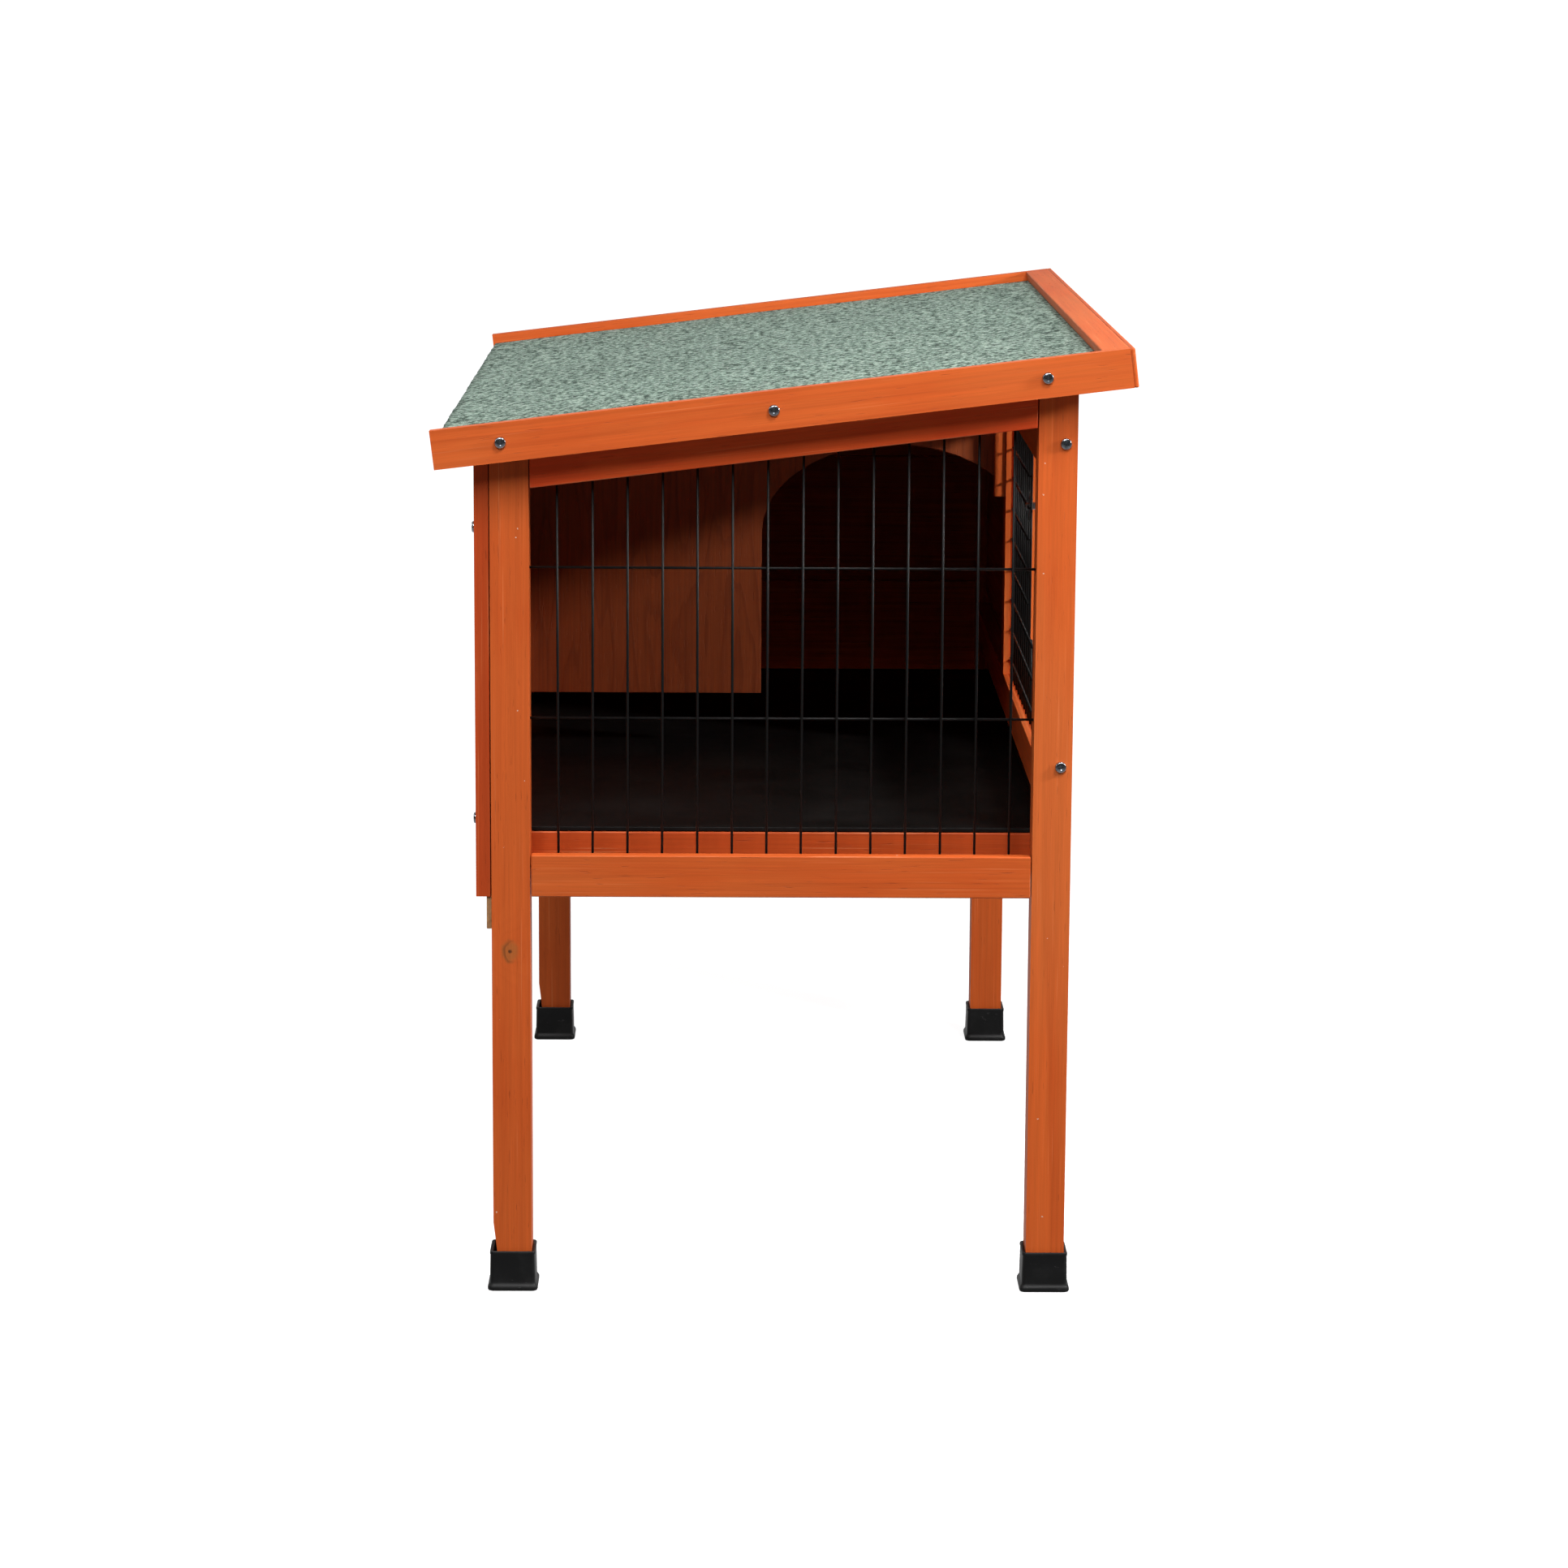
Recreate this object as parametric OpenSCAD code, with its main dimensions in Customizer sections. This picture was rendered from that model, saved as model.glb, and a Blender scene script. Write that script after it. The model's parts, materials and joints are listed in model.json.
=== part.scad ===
// Single-storey rabbit hutch on four legs, in stained fir, with black wire fronts,
// a felted lean-to roof that lifts on rear hinges, a wire hatch, a solid nest door
// and a pull-out tray.
// Millimetres. X runs along the hutch, -Y is the front (the high side of the roof),
// Z is up. The origin is on the ground, at the middle of the hutch's outline.

/* [Frame] */
// Length over the posts
frame_length = 870; // [820:5:900]
// Depth over the posts
frame_depth = 450; // [430:5:460]
// Width of the square posts
post_side = 30; // [26:1:32]
// Height of the front rails
rail_height = 30; // [26:1:34]
// Height of the side bottom rails
side_rail_height = 33; // [28:1:34]
// Thickness of the side rails, whose back holds the wire
side_rail_thickness = 11; // [9:1:12]
// Height of the underside of the side bottom rails above the ground
bottom_rail_z = 317; // [310:1:330]
// Height of the underside of the front bottom rail above the ground
front_rail_z = 401; // [396:1:406]
// Height of the underside of the front top rail above the ground
front_top_rail_z = 657; // [650:1:660]

/* [Feet] */
// Width of a leg cap
cap_side = 36; // [34:1:38]
// Height of a leg cap
cap_height = 32; // [25:1:40]
// Width of the foot flange of a leg cap
cap_flange = 39.5; // [38:0.5:42]
// Height of the foot flange of a leg cap
cap_flange_height = 6; // [4:0.5:8]

/* [Roof] */
// Length over the rake boards
roof_length = 915; // [900:5:940]
// Length of a rake board along the slope
rake_length = 535; // [525:1:545]
// Slope of the roof in degrees
roof_slope = 7; // [6:0.5:8]
// Height of a rake board's lower edge, half way along the slope
rake_z = 684.6; // [680:0.2:690]
// Height of a rake board
rake_height = 30; // [28:1:34]
// Thickness of a rake board
rake_thickness = 12; // [10:1:14]
// Thickness of the roof board
board_thickness = 9; // [8:1:10]
// Thickness of the roof felt
felt_thickness = 2.5; // [2:0.5:3]

/* [Wire] */
// Diameter of the mesh wire
wire_d = 2; // [1.6:0.2:2.4]
// Spacing of the upright wires in the side panel
side_pitch = 27; // [25:1:30]
// Spacing of the cross wires in the side panel
side_cross_pitch = 117.5; // [100:0.5:120]
// Spacing of the wires in the front panel
front_pitch = 25; // [25:1:25]

/* [Nest] */
// Thickness of the partition
partition_thickness = 6; // [4:1:8]
// Height of the partition's lower edge above the ground
partition_z = 412; // [408:1:416]
// Half width of the arched doorway
arch_half_width = 113; // [100:1:115]
// Height of the doorway's arch above its straight side
arch_rise = 76; // [60:1:80]

/* [Hidden] */
$fn = 48;

stain = "#a8481c";
dark_stain = "#8a3415";
ply = "#b98a56";
black = "#1b1b1c";
felt_green = "#27523d";
steel = "#b9bcc0";

gap = 0.4;
half_l = frame_length / 2;
half_d = frame_depth / 2;
inner_x = half_l - post_side;
inner_y = half_d - post_side;
cap_floor = 3;
post_gap = 0.2;

// Roof heights, measured square to the slope from the rake boards' lower edge
roof_under = 10.5;
board_top = roof_under + board_thickness;
felt_top = board_top + felt_thickness;
rake_inner_x = roof_length / 2 - rake_thickness;
half_rake = rake_length / 2;
strip_thickness = 3.5;
batten_width = 21;
board_back = 262;
felt_back = 265;

// Side panels: the wire stands between the outer rail and the tray runner
rail_back_x = half_l - side_rail_thickness;
wire_r = wire_d / 2;
weld = 0.1;
side_groove_depth = 8.5;
side_wire_x = rail_back_x - wire_r - 0.3;
side_cross_x = side_wire_x - wire_d + weld;
side_wire_first = -177.5;
side_wire_count = 14;
side_cross_z = 338.5;
side_wire_z0 = bottom_rail_z + 6;
side_top_drop = 24.4;
runner_width = 20;
runner_z = 331;
tray_z = 363.4;
tray_floor_thickness = 2;
tray_rim_height = 3.4;

// Front mesh: upright wires outside the cross wires, held in a groove in the frame
front_wire_y = -203;
front_cross_y = front_wire_y + wire_d - weld;
front_groove = [-204.6, -199.4];
front_first_x = -395;
front_wire_count = 15;
front_z0 = front_rail_z + rail_height;
front_row_pitch = 26;
front_first_z = front_top_rail_z - 5;
stile_x = -37;
hatch_columns = 6;
hatch_rows = 6;
hatch_x = [front_first_x, front_first_x + hatch_columns * front_pitch];
hatch_z = [front_first_z - hatch_rows * front_row_pitch, front_first_z];

// Wire door, hung by its own left border wire
door_x = [-398, -238];
door_z = [490, 655];
door_y = -208;
door_border_r = 1.5;
door_columns = 6;
door_rows = 6;
clip_z = [507, 640];
clip_height = 10;
latch_x = -230;
latch_z = 600;
blade_y = -211.6;
blade_thickness = 1.2;

// Solid nest door and its furniture
nest_x = [-5, 403];
nest_z = [433, 655];
nest_bar = 40;
nest_bar_thickness = 16;
panel_thickness = 5;
panel_lap = 30;
leaf_thickness = 1.2;
knuckle_r = 3;
leaf_lift = knuckle_r + 0.4;
pin_r = 1.5;
pin_hole_r = 1.55;
knuckle_gap = 0.4;
nest_axis_x = 404;
nest_axis_y = -half_d - leaf_lift;
nest_hinge_z = [478, 610];
nest_hinge_length = 44;
bolt_z = 544;
bolt_r = 3;
bolt_y = -half_d - leaf_thickness - bolt_r - 0.4;
bolt_guide_r = 4.6;
bolt_x = [-3, 35];
bolt_length = 56;
keeper_x = -18;

// Roof hinges, behind the back boards
back_thickness = 12;
back_y = half_d + back_thickness;
roof_hinge_y = back_y + leaf_lift;
roof_hinge_x = [-300, 300];
roof_hinge_length = 60;

// Back, partition and tray
back_board_count = 7;
back_board_width = (frame_length - 2) / back_board_count;
rear_rail_depth = 18;
rear_rail_z = 630;
wall_board_height = 120;
partition_x = -25;
arch_y = -99.4;
arch_spring_z = 552;
tray_front_y = -half_d + 3;
tray_front_thickness = 14;
tray_front_z = 318;
knob_z = 346;

// Screws
screw_head_r = 4.5;
screw_r = 1.75;
screw_hole_r = 1.8;
post_screw_y = -216;
small_head_r = 3;
small_screw_r = 1.25;
small_hole_r = 1.3;
rake_screw_y = [-203, 6, 215];

// Distance along the slope of a point at depth y, at a height z square to it
function slope_y(y, z) = (y - z * sin(roof_slope)) / cos(roof_slope);
// Height above the ground of a point given along and square to the slope
function slope_z(y, z) = rake_z - y * sin(roof_slope) + z * cos(roof_slope);
// Height of the roof's underside above the ground at depth y
function under_z(y) = slope_z(slope_y(y, roof_under), roof_under);

hinge_slope_z = roof_under - leaf_lift;
hinge_slope_y = slope_y(roof_hinge_y, hinge_slope_z);
roof_hinge_z = slope_z(hinge_slope_y, hinge_slope_z);

// ---------------------------------------------------------------- shared shapes

// A box between two corners
module block(low, high) {
    translate(low) cube(high - low);
}

// Children drawn in the roof's own axes: Y down the slope, Z square to it
module on_roof() {
    translate([0, 0, rake_z]) rotate([-roof_slope, 0, 0]) children();
}

// Everything under the roof board
module below_roof() {
    on_roof() block([-half_l - 1, -300, -900], [half_l + 1, 300, roof_under - gap]);
}

// A wire between two points along one axis
module wire(p, length, axis, r = wire_r) {
    turn = axis == "x" ? [0, 90, 0] : axis == "y" ? [-90, 0, 0] : [0, 0, 0];
    translate(p) rotate(turn) cylinder(h = length, r = r, $fn = 8);
}

// Pan head at the origin, with its shank down -Z
module screw(length, head_r = screw_head_r, shank_r = screw_r) {
    head_h = head_r * 0.5;
    cylinder(h = head_h * 0.5, r = head_r);
    translate([0, 0, head_h * 0.5]) cylinder(h = head_h * 0.5, r1 = head_r, r2 = head_r * 0.6);
    translate([0, 0, -length]) cylinder(h = length + 0.1, r = shank_r);
}

// The hole for such a screw
module screw_hole(length, r = screw_hole_r) {
    translate([0, 0, -length - 1]) cylinder(h = length + 2, r = r);
}

// Where the screws through the posts into the front rails go
module at_post_screws() {
    for (side = [-1, 1], z = [421, 672])
        translate([side * half_l, post_screw_y, z]) rotate([0, side * 90, 0]) children();
}

// Where the screws through the back boards into the posts go
module at_back_screws() {
    for (side = [-1, 1], z = [377, 604.6])
        translate([side * (half_l - 14), back_y, z]) rotate([-90, 0, 0]) children();
}

// Where the screws through the rake boards into the roof board go
module at_rake_screws() {
    for (side = [-1, 1], y = rake_screw_y)
        on_roof() translate([side * roof_length / 2, y, roof_under + board_thickness / 2])
            rotate([0, side * 90, 0]) children();
}

// Where the screws through the roof hinges' frame leaves go
module at_frame_leaf_screws() {
    for (x = roof_hinge_x, dx = [-20, 20])
        translate([x + dx, back_y + leaf_thickness, roof_hinge_z - 17]) rotate([-90, 0, 0]) children();
}

// Where the screws through the roof hinges' roof leaves go
module at_roof_leaf_screws() {
    for (x = roof_hinge_x, dx = [-20, 20])
        on_roof() translate([x + dx, hinge_slope_y + 10.5, roof_under - leaf_thickness])
            rotate([180, 0, 0]) children();
}

// Where the screws through one side of the nest door's hinges go
module at_nest_leaf_screws(side) {
    for (z = nest_hinge_z, dz = [-14, 14])
        translate([nest_axis_x + side * 12, -half_d - leaf_thickness, z + dz])
            rotate([90, 0, 0]) children();
}

// Where the screws through the bolt's plate go
module at_bolt_screws() {
    for (dz = [-10, 10])
        translate([bolt_x[0] + 19, -half_d - leaf_thickness, bolt_z + dz]) rotate([90, 0, 0]) children();
}

// Where the screws through the bolt's keeper go
module at_keeper_screws() {
    for (dz = [-10, 10])
        translate([keeper_x, -half_d - leaf_thickness, bolt_z + dz]) rotate([90, 0, 0]) children();
}

// Holes in the fixed timber
module drilled_frame() {
    difference() {
        children();
        at_post_screws() screw_hole(50);
        at_back_screws() screw_hole(28);
        at_frame_leaf_screws() screw_hole(10, small_hole_r);
        at_nest_leaf_screws(1) screw_hole(10, small_hole_r);
        at_keeper_screws() screw_hole(10, small_hole_r);
    }
}

// Holes in the nest door's timber
module drilled_door() {
    difference() {
        children();
        at_nest_leaf_screws(-1) screw_hole(10, small_hole_r);
        at_bolt_screws() screw_hole(10, small_hole_r);
    }
}

// Tubes along +X from the origin: a hinge's knuckles, every other one
module knuckles(length, count, first) {
    pitch = length / count;
    for (i = [first:2:count - 1])
        translate([i * pitch + knuckle_gap / 2, 0, 0]) rotate([0, 90, 0])
            difference() {
                cylinder(h = pitch - knuckle_gap, r = knuckle_r);
                translate([0, 0, -1]) cylinder(h = pitch + 2, r = pin_hole_r);
            }
}

// Half of a butt hinge: its knuckles lie along X round the origin, and its leaf goes
// out along +Y with its outer face leaf_lift above the pin
module hinge_leaf(length, width, count, first) {
    pitch = length / count;
    low_z = leaf_lift - leaf_thickness;
    translate([-length / 2, 0, 0]) {
        for (i = [first:2:count - 1])
            block([i * pitch + knuckle_gap / 2, 0, low_z],
                  [(i + 1) * pitch - knuckle_gap / 2, knuckle_r + 1, leaf_lift]);
        block([0, knuckle_r + 0.7, low_z], [length, width, leaf_lift]);
        knuckles(length, count, first);
    }
}

// ---------------------------------------------------------------- posts and feet

module post(side_x, side_y) {
    low = [min(side_x * half_l, side_x * inner_x), min(side_y * half_d, side_y * inner_y), cap_floor];
    color(stain) drilled_frame()
        intersection() {
            difference() {
                block(low, low + [post_side, post_side, 760]);
                side_groove(side_x);
                front_mesh_groove();
            }
            below_roof();
        }
}

// The groove in the posts that holds the ends of a side panel
module side_groove(side) {
    width = side < 0 ? 5 : 11;
    x = side < 0 ? -rail_back_x : rail_back_x - width;
    y = inner_y + side_groove_depth;
    block([x, -y, bottom_rail_z + 12], [x + width, y, 760]);
}

// The groove in the front frame that holds the edges of the wire panel
module front_mesh_groove() {
    block([-inner_x - 5, front_groove[0], front_z0 - 5],
          [stile_x + 5, front_groove[1], front_top_rail_z + 5]);
}

module foot_cap(side_x, side_y) {
    inner = post_side + 2 * post_gap;
    color(black)
        translate([side_x * (half_l - post_side / 2), side_y * (half_d - post_side / 2), 0])
            difference() {
                union() {
                    rounded_square_bar(cap_side, 4, cap_height);
                    rounded_square_bar(cap_flange, 5, cap_flange_height);
                }
                translate([-inner / 2, -inner / 2, cap_floor]) cube([inner, inner, cap_height]);
            }
}

// A square bar with round corners, standing on the ground
module rounded_square_bar(side, r, height) {
    a = side / 2 - r;
    union() {
        translate([-side / 2, -a, 0]) cube([side, 2 * a, height]);
        translate([-a, -side / 2, 0]) cube([2 * a, side, height]);
        for (x = [-a, a], y = [-a, a])
            translate([x, y, 0]) cylinder(h = height, r = r);
    }
}

module post_front_left() { post(-1, -1); }
module post_front_right() { post(1, -1); }
module post_back_left() { post(-1, 1); }
module post_back_right() { post(1, 1); }
module foot_cap_front_left() { foot_cap(-1, -1); }
module foot_cap_front_right() { foot_cap(1, -1); }
module foot_cap_back_left() { foot_cap(-1, 1); }
module foot_cap_back_right() { foot_cap(1, 1); }

// ---------------------------------------------------------------- sides

// A box from the outside of a side panel inwards, between the posts
module side_block(side, outer, thickness, z0, z1, reach = inner_y) {
    x0 = side < 0 ? -outer : outer - thickness;
    block([x0, -reach, z0], [x0 + thickness, reach, z1]);
}

module side_bottom_rail(side) {
    color(stain)
        side_block(side, half_l, side_rail_thickness, bottom_rail_z, bottom_rail_z + side_rail_height);
}

module side_top_rail(side) {
    x0 = side < 0 ? -half_l : rail_back_x;
    color(stain)
        intersection() {
            on_roof()
                block([x0, -300, -side_top_drop], [x0 + side_rail_thickness, 300, roof_under - gap]);
            side_block(side, half_l, side_rail_thickness, 500, 800);
        }
}

// The tray slides on runners across the inner faces of the posts
module tray_runner(side) {
    x0 = side < 0 ? -inner_x : inner_x - runner_width;
    color(stain)
        block([x0, tray_front_y + tray_front_thickness + 2, runner_z],
              [x0 + runner_width, half_d - rear_rail_depth - 0.3, tray_z - gap]);
}

module left_bottom_rail() { side_bottom_rail(-1); }
module left_top_rail() { side_top_rail(-1); }
module left_tray_runner() { tray_runner(-1); }
module right_bottom_rail() { side_bottom_rail(1); }
module right_top_rail() { side_top_rail(1); }
module right_tray_runner() { tray_runner(1); }

module left_wire_panel() {
    reach = inner_y + side_groove_depth - 0.5;
    color(black) {
        for (i = [0:side_wire_count - 1]) {
            y = side_wire_first + i * side_pitch;
            wire([-side_wire_x, y, side_wire_z0], under_z(y) - 8 - side_wire_z0, "z");
        }
        for (i = [0:2])
            wire([-side_cross_x, -reach, side_cross_z + i * side_cross_pitch], 2 * reach, "y");
    }
}

// Boards of the solid side, tongued and grooved, numbered from the bottom
module right_wall_board(i) {
    z0 = bottom_rail_z + 14 + i * wall_board_height;
    reach = inner_y + side_groove_depth - 0.5;
    thickness = 10;
    outer = rail_back_x - 0.5;
    color(stain)
        intersection() {
            difference() {
                union() {
                    side_block(1, outer, thickness, z0, z0 + wall_board_height - 0.3, reach);
                    if (i < 2)
                        side_block(1, outer - 3, 4, z0 + 50, z0 + wall_board_height + 4, reach);
                }
                if (i > 0)
                    side_block(1, outer - 2.8, 4.4, z0 - 1, z0 + 4.5, reach + 1);
            }
            below_roof();
        }
}

module right_wall_board_lower() { right_wall_board(0); }
module right_wall_board_middle() { right_wall_board(1); }
module right_wall_board_upper() { right_wall_board(2); }

// ---------------------------------------------------------------- front frame

module front_rail(z0, z1) {
    color(stain) drilled_frame()
        intersection() {
            difference() {
                block([-inner_x, -half_d, z0], [inner_x, -inner_y, z1]);
                front_mesh_groove();
            }
            below_roof();
        }
}

module front_top_rail() { front_rail(front_top_rail_z, front_top_rail_z + 2 * rail_height); }
module front_bottom_rail() { front_rail(front_rail_z, front_z0); }

module middle_stile() {
    color(stain) drilled_frame()
        difference() {
            block([stile_x, -half_d, front_z0], [stile_x + rail_height, -inner_y, front_top_rail_z]);
            front_mesh_groove();
        }
}

module front_wire_panel() {
    z0 = front_z0 - 4;
    z1 = front_top_rail_z + 4;
    x0 = -inner_x - 4;
    x1 = stile_x + 4;
    rows = floor((front_first_z - z0) / front_row_pitch);
    color(black) {
        for (i = [0:front_wire_count - 1]) {
            x = front_first_x + i * front_pitch;
            in_hatch = i > 0 && i < hatch_columns;
            wire([x, front_wire_y, z0], (in_hatch ? hatch_z[0] : z1) - z0, "z");
            if (in_hatch)
                wire([x, front_wire_y, hatch_z[1]], z1 - hatch_z[1], "z");
        }
        for (k = [0:rows]) {
            z = front_first_z - k * front_row_pitch;
            in_hatch = k > 0 && k < hatch_rows;
            wire([x0, front_cross_y, z], (in_hatch ? hatch_x[0] : x1) - x0, "x");
            if (in_hatch)
                wire([hatch_x[1], front_cross_y, z], x1 - hatch_x[1], "x");
        }
    }
}

// ---------------------------------------------------------------- wire door

module wire_door() {
    w = door_x[1] - door_x[0];
    h = door_z[1] - door_z[0];
    upright_y = door_y + 0.7;
    cross_y = upright_y - wire_d + weld;
    color(black) {
        for (x = door_x)
            translate([x, door_y, door_z[0]]) cylinder(h = h, r = door_border_r);
        for (z = door_z)
            wire([door_x[0], door_y, z], w, "x", door_border_r);
        for (i = [1:door_columns - 1])
            wire([door_x[0] + i * w / door_columns, upright_y, door_z[0]], h, "z");
        for (i = [1:door_rows - 1])
            wire([door_x[0], cross_y, door_z[0] + i * h / door_rows], w, "x");
    }
}

// Two clips that tie the door's left wire to the panel's first upright
module wire_door_clips() {
    mesh = [front_first_x, front_wire_y];
    hinge = [door_x[0], door_y];
    step = hinge - mesh;
    length = norm(step);
    color(steel)
        for (z = clip_z)
            translate([0, 0, z - clip_height / 2])
                difference() {
                    union() {
                        translate(mesh) cylinder(h = clip_height, r = wire_r + 1);
                        translate(hinge) cylinder(h = clip_height, r = door_border_r + 1);
                        translate(mesh) rotate([0, 0, atan2(step[1], step[0])])
                            translate([wire_r + 0.5, -0.7, 0])
                                cube([length - wire_r - door_border_r - 1, 1.4, clip_height]);
                    }
                    translate([mesh[0], mesh[1], -1]) cylinder(h = clip_height + 2, r = wire_r + 0.05);
                    translate([hinge[0], hinge[1], -1])
                        cylinder(h = clip_height + 2, r = door_border_r + 0.05);
                }
}

module wire_latch_base() {
    color(steel) {
        difference() {
            union() {
                block([latch_x - 5, front_wire_y - 0.8, latch_z - 11],
                      [latch_x + 5, front_wire_y + 0.8, latch_z + 11]);
                translate([latch_x - 5, front_cross_y, latch_z]) rotate([0, 90, 0])
                    cylinder(h = 10, r = wire_r + 1.1);
            }
            translate([latch_x - 6, front_cross_y, latch_z]) rotate([0, 90, 0])
                cylinder(h = 12, r = wire_r + 0.05);
        }
        stub_top = front_wire_y - 0.7;
        translate([latch_x, stub_top, latch_z]) rotate([90, 0, 0]) {
            cylinder(h = stub_top - blade_y - blade_thickness / 2 - 0.3, r = 3);
            cylinder(h = stub_top - blade_y + blade_thickness / 2 + 0.4, r = 2);
            translate([0, 0, stub_top - blade_y + blade_thickness / 2 + 0.3]) cylinder(h = 1, r = 3.2);
        }
    }
}

module wire_latch_blade() {
    color(steel)
        translate([latch_x, blade_y + blade_thickness / 2, latch_z]) rotate([90, 0, 0])
            difference() {
                union() {
                    translate([-3, -8, 0]) cube([6, 16, blade_thickness]);
                    for (end = [-8, 8])
                        translate([0, end, 0]) cylinder(h = blade_thickness, r = 3);
                }
                translate([0, 0, -1]) cylinder(h = blade_thickness + 2, r = 2.05);
            }
}

// ---------------------------------------------------------------- nest door

module nest_bar_block(x0, x1, z0, z1) {
    color(stain) drilled_door()
        block([x0, -half_d, z0], [x1, -half_d + nest_bar_thickness, z1]);
}

module nest_door_left_stile() { nest_bar_block(nest_x[0], nest_x[0] + nest_bar, nest_z[0], nest_z[1]); }
module nest_door_right_stile() { nest_bar_block(nest_x[1] - nest_bar, nest_x[1], nest_z[0], nest_z[1]); }

module nest_door_rail(z0) {
    nest_bar_block(nest_x[0] + nest_bar, nest_x[1] - nest_bar, z0, z0 + nest_bar);
}

module nest_door_top_rail() { nest_door_rail(nest_z[1] - nest_bar); }
module nest_door_bottom_rail() { nest_door_rail(nest_z[0]); }

module nest_door_panel() {
    inset = nest_bar - panel_lap;
    y0 = -half_d + nest_bar_thickness;
    color(stain)
        block([nest_x[0] + inset, y0, nest_z[0] + inset],
              [nest_x[1] - inset, y0 + panel_thickness, nest_z[1] - inset]);
}

module nest_hinge_post_leaves() {
    color(steel)
        difference() {
            for (z = nest_hinge_z)
                translate([nest_axis_x, nest_axis_y, z]) rotate([0, -90, -90])
                    hinge_leaf(nest_hinge_length, 24, 3, 0);
            at_nest_leaf_screws(1) screw_hole(4, small_hole_r);
        }
}

module nest_hinge_door_leaves() {
    color(steel)
        difference() {
            for (z = nest_hinge_z)
                translate([nest_axis_x, nest_axis_y, z]) rotate([0, 90, 90])
                    hinge_leaf(nest_hinge_length, 24, 3, 1);
            at_nest_leaf_screws(-1) screw_hole(4, small_hole_r);
        }
}

// A guide for the bolt: a strap bent square over it
module bolt_guide(x0, x1) {
    hole = bolt_r + 0.3;
    difference() {
        block([x0, bolt_y - bolt_guide_r, bolt_z - bolt_guide_r],
              [x1, -half_d - leaf_thickness / 2, bolt_z + bolt_guide_r]);
        block([x0 - 1, bolt_y - hole, bolt_z - hole], [x1 + 1, -half_d - leaf_thickness, bolt_z + hole]);
    }
}

// A plate on the front of the hutch, centred on the bolt's height
module bolt_base(x0, x1) {
    block([x0, -half_d - leaf_thickness, bolt_z - 14], [x1, -half_d, bolt_z + 14]);
}

module bolt_plate() {
    color(steel)
        difference() {
            union() {
                bolt_base(bolt_x[0], bolt_x[1]);
                bolt_guide(bolt_x[0], bolt_x[0] + 6);
                bolt_guide(bolt_x[1] - 6, bolt_x[1]);
            }
            at_bolt_screws() screw_hole(4, small_hole_r);
        }
}

// The bolt is drawn with its point just clear of the stile, so that the door is free
module bolt_rod() {
    color(steel) {
        translate([bolt_x[0] - 1, bolt_y, bolt_z]) rotate([0, 90, 0])
            cylinder(h = bolt_length, r = bolt_r);
        translate([bolt_x[1] - 10, bolt_y, bolt_z]) rotate([90, 0, 0])
            cylinder(h = 10, r = 2);
    }
}

module bolt_keeper() {
    color(steel)
        difference() {
            union() {
                bolt_base(keeper_x - 9, keeper_x + 9);
                bolt_guide(keeper_x - 4, keeper_x + 4);
            }
            at_keeper_screws() screw_hole(4, small_hole_r);
        }
}

// ---------------------------------------------------------------- back and partition

// The two rails between the back posts that the back boards are nailed to
module rear_ledger() {
    color(stain)
        block([-inner_x, half_d - rear_rail_depth, runner_z], [inner_x, half_d, tray_z - gap]);
}

module rear_top_rail() {
    color(stain)
        intersection() {
            block([-inner_x, half_d - rear_rail_depth, rear_rail_z], [inner_x, half_d, 800]);
            below_roof();
        }
}

// Upright boards across the back, tongued and grooved, numbered from the wired end
module back_board(number) {
    x0 = (number - 1) * back_board_width - half_l + 1;
    x1 = x0 + back_board_width;
    z0 = bottom_rail_z;
    tongue = [half_d + 4, half_d + 8];
    color(stain) drilled_frame()
        intersection() {
            difference() {
                union() {
                    block([x0, half_d, z0], [x1 - 0.3, back_y, 800]);
                    if (number < back_board_count)
                        block([x1 - 50, tongue[0], z0], [x1 + 4, tongue[1], 800]);
                }
                if (number > 1)
                    block([x0 - 1, tongue[0] - 0.2, z0 - 1], [x0 + 4.5, tongue[1] + 0.2, 801]);
            }
            below_roof();
        }
}

module back_board_1() { back_board(1); }
module back_board_2() { back_board(2); }
module back_board_3() { back_board(3); }
module back_board_4() { back_board(4); }
module back_board_5() { back_board(5); }
module back_board_6() { back_board(6); }
module back_board_7() { back_board(7); }

module rear_plywood_strip() {
    color(ply)
        block([-half_l + 3, half_d, bottom_rail_z - 26], [half_l - 3, half_d + 4, bottom_rail_z - 0.3]);
}

module partition() {
    x0 = partition_x;
    y1 = half_d - 0.3;
    color(dark_stain)
        intersection() {
            difference() {
                block([x0, -inner_y + 0.2, partition_z], [x0 + partition_thickness, y1, 800]);
                translate([x0 - 1, 0, 0]) rotate([90, 0, 90])
                    linear_extrude(height = partition_thickness + 2)
                        polygon(doorway());
                block([x0 - 1, half_d - rear_rail_depth - 0.3, rear_rail_z - 0.3],
                      [x0 + partition_thickness + 1, half_d, 800]);
            }
            below_roof();
        }
}

// The arched doorway, open at the foot, as Y and Z
function doorway() = [
    [arch_y - arch_half_width, partition_z - 1],
    [arch_y + arch_half_width, partition_z - 1],
    for (a = [0:7.5:180])
        [arch_y + arch_half_width * cos(a), arch_spring_z + arch_rise * sin(a)]
];

module partition_batten() {
    y0 = -inner_y;
    color(stain)
        intersection() {
            block([partition_x - 10, y0, 584.5], [partition_x, y0 + 10, 800]);
            below_roof();
        }
}

// ---------------------------------------------------------------- tray

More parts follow.
